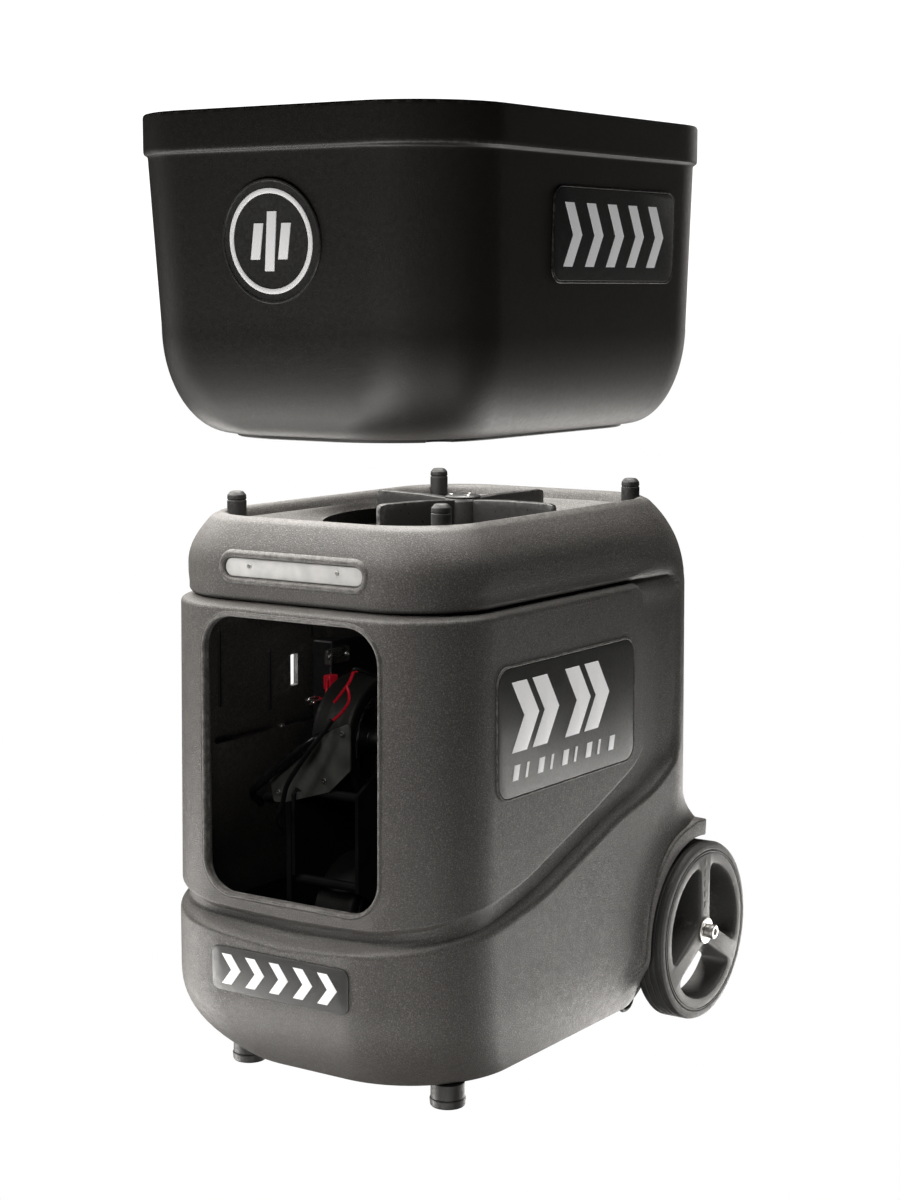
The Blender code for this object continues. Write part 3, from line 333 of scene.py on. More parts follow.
MAT = {key: plastic(*row, **more) for key, (*row, more) in PLASTICS.items()}
MAT.update({key: metal(*row, **more) for key, (*row, more) in METALS.items()})
MAT["lens"] = lens_plastic("lens_plastic")
# painted light: the white badge marks glow with their own tone so they look lit where the lamps leave
# them dim
add_glow(MAT["white"], strength=0.26)
tint_sidewall(MAT["tread"], (0.052, 0.051, 0.050))

# the slot each finish goes to unless a piece says otherwise
SLOT = {
    "body": "body_plastic", "hopper": "hopper_plastic", "badge": "badge_plastic",
    "white": "badge_plastic", "rubber": "foot_rubber", "tread": "tyre_rubber",
    "wheel": "wheel_plastic", "black": "base_plastic", "feed": "impeller_plastic",
    "lens": "lens_plastic", "tyre_launch": "launch_rubber", "hub": "launch_hub_metal",
    "motor": "motor_metal", "red": "red_sheath", "cable": "black_sheath",
    "steel": "fastener_steel", "clip": "fastener_steel", "coat": "frame_metal",
    "cover": "frame_metal", "stay": "frame_metal",
}


# ==========================================================================
# outlines and curves
# ==========================================================================
def sstep(t):
    t = np.clip(t, 0.0, 1.0)
    return t * t * (3 - 2 * t)


def pchip(xs, ys):
    """Monotone smooth interpolation through the points."""
    xs, ys = np.array(xs, float), np.array(ys, float)
    gap = np.diff(xs)
    rise = np.diff(ys) / gap
    slope = np.zeros_like(ys)
    slope[0], slope[-1] = rise[0], rise[-1]
    for i in range(1, len(xs) - 1):
        if rise[i - 1] * rise[i] > 0:
            before, after = 2 * gap[i] + gap[i - 1], gap[i] + 2 * gap[i - 1]
            slope[i] = (before + after) / (before / rise[i - 1] + after / rise[i])

    def curve(x):
        x = np.clip(np.asarray(x, float), xs[0], xs[-1])
        i = np.clip(np.searchsorted(xs, x) - 1, 0, len(xs) - 2)
        t = (x - xs[i]) / gap[i]
        return ((1 + 2 * t) * (1 - t) ** 2 * ys[i] + t * (1 - t) ** 2 * gap[i] * slope[i]
                + t * t * (3 - 2 * t) * ys[i + 1] + t * t * (t - 1) * gap[i] * slope[i + 1])
    return curve


def fillet(points, radius, steps=4, closed=True):
    """Round the corners of a 2D line; radius is one value or a list by corner."""
    pts = [np.array(p, float) for p in points]
    count = len(pts)
    out = []
    for i, at in enumerate(pts):
        size = radius[i] if isinstance(radius, list) else radius
        back, ahead = pts[i - 1] - at, pts[(i + 1) % count] - at
        len_back, len_ahead = np.linalg.norm(back), np.linalg.norm(ahead)
        end = not closed and i in (0, count - 1)
        if end or len_back < 1e-9 or len_ahead < 1e-9 or size <= 0:
            out.append(tuple(at))
            continue
        back, ahead = back / len_back, ahead / len_ahead
        angle = math.acos(float(np.clip(back @ ahead, -1, 1)))
        if angle > math.radians(176):
            out.append(tuple(at))
            continue
        reach = min(size / math.tan(angle / 2), len_back * 0.48, len_ahead * 0.48)
        size = reach * math.tan(angle / 2)
        bisector = (back + ahead) / np.linalg.norm(back + ahead)
        centre = at + bisector * (size / math.sin(angle / 2))
        start = math.atan2(*(at + back * reach - centre)[::-1])
        stop = math.atan2(*(at + ahead * reach - centre)[::-1])
        sweep = (stop - start + pi) % (2 * pi) - pi
        for k in range(steps + 1):
            turn = start + sweep * k / steps
            out.append(tuple(centre + size * np.array((math.cos(turn), math.sin(turn)))))
    return out


def rounded_rect(u0, u1, v0, v1, radius, steps=8):
    pts = []
    for u, v, start in ((u1 - radius, v1 - radius, 0), (u0 + radius, v1 - radius, 90),
                        (u0 + radius, v0 + radius, 180), (u1 - radius, v0 + radius, 270)):
        for k in range(steps + 1):
            turn = math.radians(start + 90.0 * k / steps)
            pts.append((u + radius * math.cos(turn), v + radius * math.sin(turn)))
    return pts


def densify(pts, step):
    """Add points along a closed outline."""
    out = []
    for a, b in zip(pts, pts[1:] + pts[:1]):
        n = max(1, int(math.hypot(b[0] - a[0], b[1] - a[1]) / step))
        out += [(a[0] + (b[0] - a[0]) * k / n, a[1] + (b[1] - a[1]) * k / n) for k in range(n)]
    return out


def counter_clockwise(outline):
    x, y = np.array(outline).T
    area = float(np.sum(x * np.roll(y, -1) - np.roll(x, -1) * y))
    return outline[::-1] if area < 0 else outline


def offset_poly(outline, distance):
    """Move a counter-clockwise outline inwards."""
    pts = np.array(outline, float)
    out = []
    for i, at in enumerate(pts):
        before, after = at - pts[i - 1], pts[(i + 1) % len(pts)] - at
        before = before / max(1e-9, np.linalg.norm(before))
        after = after / max(1e-9, np.linalg.norm(after))
        normal = np.array((-before[1], before[0]))
        middle = normal + np.array((-after[1], after[0]))
        middle = middle / max(1e-9, np.linalg.norm(middle))
        out.append(at + middle * distance / max(0.35, float(middle @ normal)))
    return [tuple(p) for p in out]


def smooth_path(pts, per):
    """Catmull-Rom curve through the points, per steps to a span."""
    pts = [np.array(p, float) for p in pts]
    pts = [2 * pts[0] - pts[1]] + pts + [2 * pts[-1] - pts[-2]]
    out = []
    for i in range(1, len(pts) - 2):
        p0, p1, p2, p3 = pts[i - 1:i + 3]
        for k in range(per):
            t = k / per
            out.append(0.5 * ((2 * p1) + (-p0 + p2) * t + (2 * p0 - 5 * p1 + 4 * p2 - p3) * t * t
                              + (-p0 + 3 * p1 - 3 * p2 + p3) * t ** 3))
    out.append(pts[-2])
    return out


def inside_poly(px, py, poly):
    poly = np.array(poly)
    inside = np.zeros(px.shape, bool)
    for (x0, y0), (x1, y1) in zip(poly, np.roll(poly, -1, axis=0)):
        if y0 == y1:
            continue
        inside ^= ((y0 > py) != (y1 > py)) & (px < (x1 - x0) * (py - y0) / (y1 - y0) + x0)
    return inside


def line_dist(px, py, line):
    """Distance to an open line, by segment."""
    best = np.full(px.shape, 1e9)
    for (x0, y0), (x1, y1) in zip(line[:-1], line[1:]):
        dx, dy = x1 - x0, y1 - y0
        square = dx * dx + dy * dy
        if square < 1e-12:
            continue
        t = np.clip(((px - x0) * dx + (py - y0) * dy) / square, 0, 1)
        best = np.minimum(best, (px - x0 - t * dx) ** 2 + (py - y0 - t * dy) ** 2)
    return np.sqrt(best)


def resample(pts, step):
    out = []
    for (x0, y0), (x1, y1) in zip(pts, pts[1:]):
        n = max(1, int(math.hypot(x1 - x0, y1 - y0) / step))
        out += [(x0 + (x1 - x0) * k / n, y0 + (y1 - y0) * k / n) for k in range(n)]
    return np.array(out + [pts[-1]])


# ==========================================================================
# solids
# ==========================================================================
def place(axis, u, v, w):
    return {"X": (w, u, v), "Y": (u, w, v), "Z": (u, v, w)}[axis]


def add(name, verts, faces, finish=None, body="root", slot=None, stands=None, smooth=35.0,
        merge=True):
    """Make a mesh object. stands names the CAD node that it stands for.
    A piece whose finish has no slot is a cutter."""
    mesh = bpy.data.meshes.new(name)
    mesh.from_pydata((np.asarray(verts, float) * MM).tolist(), [], faces)
    mesh.update()
    work = bmesh.new()
    work.from_mesh(mesh)
    if merge:
        bmesh.ops.remove_doubles(work, verts=work.verts, dist=2e-6)
    bmesh.ops.recalc_face_normals(work, faces=work.faces)
    work.to_mesh(mesh)
    work.free()
    obj = bpy.data.objects.new(name, mesh)
    bpy.context.scene.collection.objects.link(obj)
    if finish:
        mesh.materials.append(MAT[finish])
    mesh.shade_smooth()
    mesh.set_sharp_from_angle(angle=math.radians(smooth))
    slot = slot or SLOT.get(finish)
    if slot:
        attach(obj, body)
        if stands:
            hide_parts(stands)
    return obj


def skin(name, rings, finish=None, loop=False, **more):
    """Join rings of equal length; capped unless the last joins the first."""
    rings = np.asarray(rings, float)
    count, size, _ = rings.shape
    faces = []
    for r in range(count if loop else count - 1):
        a, b = r * size, ((r + 1) % count) * size
        for i in range(size):
            j = (i + 1) % size
            faces.append((a + i, a + j, b + j, b + i))
    if not loop:
        faces.append(tuple(range(size))[::-1])
        faces.append(tuple((count - 1) * size + i for i in range(size)))
    return add(name, rings.reshape(-1, 3), faces, finish, **more)


def lathe(name, profile, axis, centre, finish=None, seg=96, **more):
    """Spin a (radius, along) profile. One that starts and ends on the axis
    gets a single point there; any other is closed into a ring."""
    on_axis = profile[0][0] < 1e-6 and profile[-1][0] < 1e-6
    turns = [2 * pi * k / seg for k in range(seg)]
    rings = [[place(axis, centre[0] + r * math.cos(t), centre[1] + r * math.sin(t), w)
              for t in turns] for r, w in profile]
    if on_axis:
        rings[0], rings[-1] = rings[0][:1], rings[-1][:1]
    starts = np.cumsum([0] + [len(ring) for ring in rings]).tolist()

    def index(r, i):
        return starts[r] + i % len(rings[r])

    faces = []
    for r in range(len(rings) - on_axis):
        above = (r + 1) % len(rings)
        for i in range(seg):
            quad = index(r, i), index(r, i + 1), index(above, i + 1), index(above, i)
            faces.append(tuple(dict.fromkeys(quad)))
    verts = [point for ring in rings for point in ring]
    return add(name, verts, faces, finish, merge=False, **more)


def pillow(name, outline, axis, w0, w1, edge, finish, warp=None, **more):
    """Slab from w0 to w1 with its w1 edges rounded; warp moves each point."""
    outline = counter_clockwise(outline)
    sign = 1 if w1 > w0 else -1
    rings = [[(u, v, w0) for u, v in outline]]
    steps = 3
    for k in range(steps + 1):
        turn = pi / 2 * k / steps
        inset = edge * (1 - math.cos(turn))
        w = w1 - sign * edge * (1 - math.sin(turn))
        rings.append([(u, v, w) for u, v in
                      (offset_poly(outline, inset) if inset > 1e-6 else outline)])
    rings = [[place(axis, *p) for p in ring] for ring in rings]
    if warp:
        rings = [[warp(*p) for p in ring] for ring in rings]
    return skin(name, rings, finish, **more)


def ring_band(name, outline, axis, base, profile, finish, warp, **more):
    """Raised band along an outline, from (inwards, height over base) points."""
    outline = counter_clockwise(outline)
    rings = [[warp(*place(axis, u, v, base + height)) for u, v in offset_poly(outline, inset)]
             for inset, height in profile]
    return skin(name, rings, finish, loop=True, **more)


def tube(name, path, radius, finish, seg=16, **more):
    pts = [np.array(p, float) for p in path]
    rings, side = [], None
    for i, at in enumerate(pts):
        along = pts[min(i + 1, len(pts) - 1)] - pts[max(i - 1, 0)]
        along = along / np.linalg.norm(along)
        if side is None:
            side = np.array((1.0, 0, 0)) if abs(along[0]) < 0.9 else np.array((0, 0, 1.0))
        side = side - along * side.dot(along)
        side = side / np.linalg.norm(side)
        other = np.cross(along, side)
        rings.append([at + (side * math.cos(2 * pi * k / seg)
                            + other * math.sin(2 * pi * k / seg)) * radius for k in range(seg)])
    return skin(name, rings, finish, **more)


def bent_tube(name, radius, finish, seg, points, per=8, **more):
    return tube(name, smooth_path(points, per), radius, finish, seg, **more)


def screw_head(name, axis, centre, radii, levels, seg, body="root"):
    """Head with a recess. radii: rim, crown, recess mouth, recess bottom;
    levels: seat, shoulder, top, recess bottom."""
    rim, crown, mouth, bottom = radii
    seat, shoulder, top, floor = levels
    profile = [(0, seat), (rim, seat), (rim, shoulder), (crown, top), (mouth, top),
               (bottom, floor), (0, floor)]
    lathe(name, profile, axis, centre, "steel", seg=seg, body=body)


def rod_cutter(axis, centre, w0, w1, radius, seg):
    return lathe("tmp", [(0, w0), (radius, w0), (radius, w1), (0, w1)], axis, centre, seg=seg)


def slab_cutter(axis, outline, w0, w1):
    return skin("tmp", [[place(axis, u, v, w) for u, v in outline] for w in (w0, w1)])


def cut(obj, cutters, operation="DIFFERENCE", solver="MANIFOLD", smooth=35.0):
    """Apply Booleans one after another and drop the cutters."""
    for cutter in cutters:
        boolean = obj.modifiers.new("b", "BOOLEAN")
        boolean.object = cutter
        boolean.operation = operation
        boolean.solver = solver
    bpy.context.view_layer.update()
    graph = bpy.context.evaluated_depsgraph_get()
    mesh = bpy.data.meshes.new_from_object(obj.evaluated_get(graph))
    obj.modifiers.clear()
    old = obj.data
    obj.data = mesh
    bpy.data.meshes.remove(old)
    for cutter in cutters:
        bpy.data.objects.remove(cutter, do_unlink=True)
    mesh.shade_smooth()
    mesh.set_sharp_from_angle(angle=math.radians(smooth))
    return obj


# ==========================================================================
# body shell: columns, from the front centre round to the rear centre
# ==========================================================================
# parts: half front, front corner, side, rear corner, half rear
PART_COLUMNS = ((30, 44, 130, 34, 16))
PART_LENGTHS = [HALF_W - CORNER, CORNER * pi / 2, (REAR_Y - CORNER) - (FRONT_Y + CORNER),
                CORNER * pi / 2, HALF_W - CORNER]
PART = np.array([part for part, n in enumerate(PART_COLUMNS) for _ in range(n)] + [4])
FRACTION = np.array([k / n for n in PART_COLUMNS for k in range(n)] + [1.0])
# distance of each column round the panel from the front centre
RUN = np.concatenate([[0], np.cumsum(PART_LENGTHS)])[PART] + FRACTION * np.array(PART_LENGTHS)[PART]


def section(half, front, rear, corner):
    """x, y and outward normal of every column on a rounded rectangle."""
    sizes = [np.broadcast_to(np.asarray(v, float), RUN.shape) for v in (half, front, rear, corner)]
    out = np.zeros((4, len(RUN)))
    for part in range(5):
        here = PART == part
        t = FRACTION[here]
        wide, near, far, bend = [size[here] for size in sizes]
        sin, cos = np.sin(t * pi / 2), np.cos(t * pi / 2)
        values = (
            (t * (wide - bend), near, 0, -1),
            (wide - bend + bend * sin, near + bend - bend * cos, sin, -cos),
            (wide, near + bend + t * (far - bend - near - bend), 1, 0),
            (wide - bend + bend * cos, far - bend + bend * sin, cos, sin),
            ((1 - t) * (wide - bend), far, 0, 1),
        )[part]
        for row, value in enumerate(values):
            out[row, here] = value
    return out


def mirrored(x, y, z):
    """Turn a half ring into a whole one."""
    right = np.stack([x, y, z], 1)
    left = right[1:-1][::-1].copy()
    left[:, 0] *= -1
    return np.concatenate([right, left])


# heights round the body of the panel's lower edge and the lower body's crease
z_panel = pchip([0, 90, 128.9, 168.1, 212.1, 280.4, 356.4, 436.4, 477.4, 509.4, 528.0, 700.0],
                [191, 194, 199, 205, 213, 225, 250, 278, 294, 308, 323, 420])
z_lower = pchip([0, 62, 109, 148.2, 188.4, 244.4, 318.4, 396.4, 478.4, 542.4, 580.0, 640, 700.0],
                [170, 174, 178, 181, 186, 193, 207, 232, 259, 274, 290, 330, 372])

# panel and lower body edges as (distance round, height)
LINE_START = -60
PANEL_END, PANEL_TOP = 527.0, 503.0
PILLAR_END = 612.0
panel_edge = [(float(q), float(z_panel(abs(q)))) for q in np.linspace(LINE_START, PANEL_END, 90)]
panel_corner = fillet([panel_edge[-2], (PANEL_END, float(z_panel(PANEL_END))),
                       (PANEL_END, PANEL_TOP), (PANEL_END - 80, PANEL_TOP)],
                      [0, 8, 17, 0], 8, closed=False)
panel_poly = panel_edge[:-1] + panel_corner[1:-1] + [(LINE_START, PANEL_TOP)]
panel_line = resample(panel_poly, 2.0)

lower_edge = [(float(q), float(z_lower(abs(q)))) for q in np.linspace(LINE_START, 598, 110)]
lower_corner = fillet([lower_edge[-1], (606, 318), (PILLAR_END, 372), (PILLAR_END + 1, 507.5),
                       (PILLAR_END - 80, 508.0)], [0, 20, 30, 26, 0], 8, closed=False)
lower_poly = lower_edge + lower_corner[1:] + [(LINE_START, 508.0)]
lower_line = resample(lower_poly, 2.0)

# how far the walls draw in towards the top rim, by height
FRONT_INSET_Z = [26, 499, 508, 516, 528, 538, 546, 554, 562, 570, 578, 584, 587.2]
REAR_INSET_Z = [26, 490, 510, 521, 532, 543, 554, 565.5, 577, 583, 587.2]
inset_front_side = pchip(FRONT_INSET_Z,
                         [0, 0, 5.6, 5.6, 4.9, 5.0, 5.9, 8.0, 11.6, 16.2, 22.0, 27.0, 31.0])
inset_front = pchip(FRONT_INSET_Z,
                    [0, 0, 8.2, 8.4, 7.6, 7.6, 8.4, 10.2, 13.0, 16.6, 20.8, 25.0, 30.5])
inset_rear = pchip(REAR_INSET_Z, [0, 0, 1.6, 3.2, 5.8, 10, 16.5, 24.5, 35.0, 41.5, 47])
inset_rear_side = pchip(REAR_INSET_Z, [0, 0, 1.8, 3.2, 5.2, 8.2, 12, 17.0, 23.5, 27.5, 31])


def tuck(z):
    """Share of the lower body's draw-in at a height."""
    return np.clip((118.0 - z) / 91.0, 0, 1.012) ** 2.2


def rear_tuck(z):
    return REAR_TUCK * tuck(z), 44.0 * sstep((101.0 - z) / 34.0)


def draft(z):
    return DRAFT * (DRAFT_TOP - z) / DRAFT_H


def row_heights():
    """Rows of the shell: level at the foot and top, along the creases between."""
    low = np.minimum(z_lower(RUN), 380)
    high = np.minimum(np.maximum(z_panel(RUN), low + 14), 420)
    thin = 1
    foot = [26.0, 26.3, 27.2, 29, 32, 36, 41, 47, 54, 61, 68, 75, 82, 89, 96, 103, 110, 117]
    rows = [np.full_like(RUN, z) for z in foot[::thin]]
    start = 124.0
    # start, rise and steps of each band
    for base, rise, steps in ((start, low - 14 - start, 24), (low - 14, 16, 12),
                              (low + 2, high - 3 - low - 2, 9), (high - 3, 11, 12),
                              (high + 8, 486 - high - 8, 28)):
        rows += [base + rise * t for t in np.linspace(0, 1, steps // thin + 1)[:-1]]
    for first, last, step in ((486, 500, 1.6), (500, 516, 0.9), (516, 548, 3.0), (548, 586, 2.0)):
        rows += [np.full_like(RUN, z) for z in np.arange(first, last, step * thin)]
    return rows


def groove_depth(z):
    """Depth of the groove between the panel and the rest, for each column."""
    panel = line_dist(RUN, z, panel_line)
    panel = np.where(inside_poly(RUN, z, panel_poly), -panel, panel)
    lower = line_dist(RUN, z, lower_line)
    lower = np.where(inside_poly(RUN, z, lower_poly), lower, -lower)
    top = sstep((z - 470) / 25.0)
    depth = (6.6 + 4.2 * sstep((RUN - 180) / 150.0)) * (1 - top) + 8.6 * top
    lip = 3.8 * (1 - top) + 7.4 * top
    rounded = lip - np.sqrt(np.maximum(0, lip * lip - (panel + lip) ** 2))
    falling = lip + (depth - lip) * sstep(panel / (4.0 - 1.6 * top))
    from_panel = np.where(panel < -lip, 0.0, np.where(panel < 0, rounded, falling))
    reach = 13.0 + 20.0 * sstep((RUN - 470) / 110) * sstep((z - 285) / 60)
    reach = np.where(z > 470, np.minimum(reach, 6.5 + 24 * sstep((RUN - 500) / 80)), reach)
    t = np.clip((lower + reach * 0.55) / (reach * 0.55 + 2.6), 0, 1)
    from_lower = depth * (1 - np.sqrt(np.maximum(0.0, 1 - t ** 2)))
    return np.minimum(from_panel, from_lower) * (1 - 0.65 * sstep((RUN - 565) / 60))


def arch_share(y, z):
    """How far the side runs out to the flat lip round the wheel, 0 to 1."""
    rho = np.hypot(y - AXLE_Y, z - AXLE_Z)
    t = np.clip((rho - 118.0) / 42.0, 0, 1)
    share = np.where(rho < 118.0, 1 - 0.10 * sstep((118.0 - rho - 8.0) / 5.0), (1 - t) ** 2.1)
    share = 0.84 * share * sstep((z - 46) / 50.0) * sstep((y - 72) / 26)
    behind = sstep((y - 222.0) / 20.0)
    share = (share * (1 - behind * 0.75 * sstep((rho - 122.0) / 10.0))
             * (1 - sstep((y - 232.0) / 14.0) * 0.75))
    share = np.where(PART >= 2, np.clip(share, 0, 1), 0) * np.where(PART >= 4, 0, 1)
    return share * np.where(PART == 3, 1 - sstep((FRACTION - 0.5) / 0.3), 1)


def body_ring(z):
    """One ring of the outer surface; z is a height for each column."""
    share = tuck(z)
    low, high = z_lower(RUN), z_panel(RUN)
    upper = sstep((z - (low - 5)) / np.maximum(8.0, (high - 5 - low)))
    rearward = sstep((RUN - 470) / 160.0)
    side_inset = inset_front_side(z) * (1 - rearward) + inset_rear_side(z) * rearward
    lean = np.clip(draft(z), 0, DRAFT)
    half = HALF_W + lean - SIDE_TUCK * share - side_inset
    front = (LOWER_FRONT_Y * (1 - upper) + (FRONT_Y - lean) * upper) + FRONT_TUCK * share
    front = front + inset_front(z)
    slope, step_in = rear_tuck(z)
    rear = REAR_Y - slope - inset_rear(z) - step_in
    corner = (110.0 + 5 * share) * (1 - upper) + upper * (CORNER - 0.32 * inset_front_side(z))
    rear_corner = np.minimum(corner, 90.0 - 0.3 * inset_rear(z))
    x, y, nx, ny = section(half, front, rear, np.where(PART >= 3, rear_corner, corner))
    side = PART == 2                       # the side runs between two different corners
    start = front + corner
    y[side] = (start + FRACTION * ((rear - rear_corner) - start))[side]
    depth = groove_depth(z)
    x = x - nx * depth
    y = y - ny * depth
    x = x + (195.0 - x) * arch_share(y, z)
    return mirrored(x, y, z)


# top rim: half width, front, rear, corner, height
RIM = ((151.6, -249.0, 206.5, 78.5, 587.5), (149.6, -247.0, 204.2, 78.0, 587.4),
       (147.4, -244.6, 202.0, 77, 586.7), (145.4, -242.2, 199.8, 76.5, 585.2),
       (143.8, -240.0, 197.8, 76, 582.8), (142.6, -238.2, 196.2, 75.5, 580.0),
       (141.8, -237.0, 194.8, 75, 577.0))
rings = [body_ring(z) for z in row_heights()]
for *size, height in RIM:
    x, y, _, _ = section(*size)
    rings.append(mirrored(x, y, np.full_like(RUN, height)))


def well_ring(ring, radius, z):
    """Project a ring onto a circle round the well."""
    from_well = np.hypot(ring[:, 0], ring[:, 1] - WELL_Y)
    return np.stack([ring[:, 0] / from_well * radius,
                     WELL_Y + (ring[:, 1] - WELL_Y) / from_well * radius,
                     np.full(len(ring), z)], 1)


# basin from the rim down to the well
basin_edge = rings[-1]
well_edge = well_ring(basin_edge, WELL_R + 2.2, 560.5)
for t in (0.06, 0.14, 0.26, 0.4, 0.56, 0.72, 0.87, 0.96, 1.0):
    ring = basin_edge * (1 - t) + well_edge * t
    ring[:, 2] = 578.0 - 17.5 * (1 - (1 - t) ** 1.7)
    rings.append(ring)
rings.append(well_ring(basin_edge, WELL_R * 0.98, 560.0))
shell = skin("body_moulding", rings, "body", stands="body_shell", smooth=32)


def plain_ring(half, front, rear, corner, z, front_corner=None):
    """Rounded rectangle at one height."""
    pts = []
    for sx, sy, start in ((1, 1, 0), (-1, 1, 90), (-1, -1, 180), (1, -1, 270)):
        bend = corner if sy > 0 else (front_corner or corner)
        cx, cy = sx * (half - bend), (rear - bend if sy > 0 else front + bend)
        for k in range(11):
            turn = math.radians(start + 90.0 * k / 10)
            pts.append((cx + bend * math.cos(turn), cy + bend * math.sin(turn), z))
    return pts


def make_cavity():
    """Solid that hollows the body, less the two wheel housings."""
    hollow = []
    for z in (10.0, 27.0, 36.0, 48.0, 64.0, 82.0, 100.0, 118.0, 156.0):
        level = max(z, 27.0)
        share = tuck(level)
        slope, step_in = rear_tuck(level)
        front = -294.5 if z < 150 else -288.0
        hollow.append(plain_ring(HALF_W - 3 - SIDE_TUCK * share, front + FRONT_TUCK * share,
                                 REAR_Y - 6 - slope - step_in, 98 + 5 * share, z,
                                 front_corner=106 + 5 * share))
    # half width, front, rear, corner, height
    hollow += [plain_ring(*row) for row in (
        (168.0, -266.0, 250.5, 98, 168.0), (168.0, -264.0, 250.5, 92, 206.0),
        (172.0, -268.0, 250.5, 88, 216.0), (172.0, -268.0, 250.5, 88, 482.0),
        (166.0, -262.0, 243.0, 82, 500.0), (166.0, -261.0, 236.5, 80, 540.0),
        (160.0, -257.0, 224.0, 75, 560.0), (150.0, -247.0, 206.0, 74, 569.0),
        (142.0, -238.0, 190.0, 70, 569.5))]
    hollow.append(well_ring(np.array(hollow[-1]), 141, 553.5))
    # the hollowing solid carries the near-black inner finish, painted shade on the inside walls
    solid = skin("tmp", hollow, "cavity")
    return cut(solid, [rod_cutter("X", AXLE, s * 153.0, s * 240.0, 111.0, 64) for s in (-1, 1)])


WINDOW = rounded_rect(-107.5, 107.5, 209, 491, 36, 14)
WALL_SLOT = rounded_rect(-47.0, -34.0, 377.0, 412.0, 1.5, 4)      # in the left wall

cutters = [make_cavity()]
for s in (-1, 1):                                    # wheel arch and axle hole
    cutters.append(rod_cutter("X", AXLE, s * 158.0, s * 240.0, 106.0, 160))
    cutters.append(rod_cutter("X", AXLE, s * 140.0, s * 170.0, 6.6, 32))
cutters += [
    slab_cutter("Y", WINDOW, -330, -245),
    slab_cutter("Y", rounded_rect(-62, 62, 215, 455, 12, 6), 235, 290),         # rear opening
    rod_cutter("Z", WELL, 530, 580, WELL_R, 160),
    slab_cutter("Y", rounded_rect(-85.0, 85.0, 529.0, 549.0, 9.9, 10), -290, -268.3),  # light
]
cutters += [rod_cutter("Z", post, 576.0, 605, 10.4, 48) for post in POSTS]
cutters += [
    # thinner wall behind the window's edge and inside the left wall
    slab_cutter("Y", rounded_rect(-116.0, 116.0, 204.0, 497.0, 38, 14), -276.5, -262),
    slab_cutter("X", rounded_rect(-190.0, 20.0, 335.0, 462.0, 6.0, 4), -180.0, -160),
    slab_cutter("X", WALL_SLOT, -200, -165),
    # room for the tilt motor at the end of the head's swing
    slab_cutter("X", [(-128, 243.5), (-82, 243.5), (-76, 247), (-76, 283), (-128, 283)],
                160, 175.5),
]
cut(shell, cutters, smooth=32)

# flange round each wheel arch: outer radius by angle round the axle
arch_edge = pchip([78, 90, 99, 114, 128, 142.6, 158, 170, 178, 184, 189.4, 196, 202],
                  [124.5, 124, 122.5, 123.3, 121.8, 118.8, 115.6, 113.2, 113.0, 114.6, 118.0,
                   129.0, 138.0])
ARCH_R, ARCH_STEPS = 106.3, 80


def axle_polar(radius, degrees):
    turn = math.radians(degrees)
    return np.array((AXLE_Y + radius * math.cos(turn), AXLE_Z + radius * math.sin(turn)))


for sign, side in SIDES:
    rings = []
    for k in range(ARCH_STEPS + 1):
        inner_deg = 82.0 + 124.0 * k / ARCH_STEPS
        outer_deg = inner_deg if inner_deg < 170 else 170 + (inner_deg - 170) * 31.0 / 36.0
        inner = axle_polar(ARCH_R, inner_deg)
        across = axle_polar(float(arch_edge(outer_deg)), outer_deg) - inner
        width = float(np.linalg.norm(across))
        across = across / width
        z = inner[1]
        wall = HALF_W + DRAFT - SIDE_TUCK * tuck(z)
        face = (wall + 1.6 - 6.0 * (1 - float(sstep((z - 50.0) / 34.0)))
                + (195.9 - wall - 1.6) * float(sstep((z - 48.0) / 52.0)))
        profile = fillet([(0.0, face - 22.0), (width + 1.0, face - 22.0), (width, face - 0.4),
                          (0.0, face)], [0, 0, 2.2, 1.6])
        rings.append([(sign * x, *(inner + across * u)) for u, x in profile])
    skin("arch_flange_" + side, rings, "body", smooth=40)


def wrap_corners(corner, half):
    """Warp that bends the flat front round the body's front corners."""
    def warp(x, y, z):
        past = abs(x) - (half - corner)
        if past > 0:
            past = min(past, corner * 0.98)
            y = y + (corner - math.sqrt(corner * corner - past * past))
        return (x, y, z)
    return warp


window_wrap = wrap_corners(CORNER, HALF_W)
# moulded lips: (inwards from the outline, depth)
WINDOW_LIP = [(-5.4, 2.4), (-5.2, 0.2), (-4.4, -0.5), (-3.9, -0.1), (-3.4, -0.6), (-2.0, -1.3),
              (-0.6, -0.9), (0.4, 0.6), (0.6, 3.0), (0.6, 7.0), (-1.5, 7.0), (-4.0, 4.0)]
LENS_LIP = [(-8.2, 1.6), (-7.2, 0.2), (-5.8, -1.5), (-4.0, -2.2), (-2.2, -1.7), (-0.8, -0.1),
            (-0.3, 1.4), (-0.3, 4.0), (-2.0, 5.0), (-5.0, 5.0)]
LENS = rounded_rect(-84.5, 84.5, 529.5, 548.5, 9.4, 10)
ring_band("window_lip", densify(WINDOW, 6), "Y", FRONT_Y, WINDOW_LIP, "body",
          lambda x, y, z: window_wrap(x, y - draft(z), z), smooth=50)
ring_band("lens_surround", densify(LENS, 6), "Y", -273.4, LENS_LIP, "body",
          wrap_corners(88, 178), smooth=50)

# ==========================================================================
# light
# ==========================================================================
pillow("light_cover", densify(LENS, 5), "Y", -268.6, -272.4, 1.2, "lens", stands="light_lens",
       smooth=50)
for i, x in enumerate((-54, 54)):
    screw_head("light_screw_%d" % (i + 1), "Y", (x, 541), (2.4, 2.0, 0.9, 0.8),
               (-271.5, -273.0, -273.5, -272.9), seg=24)

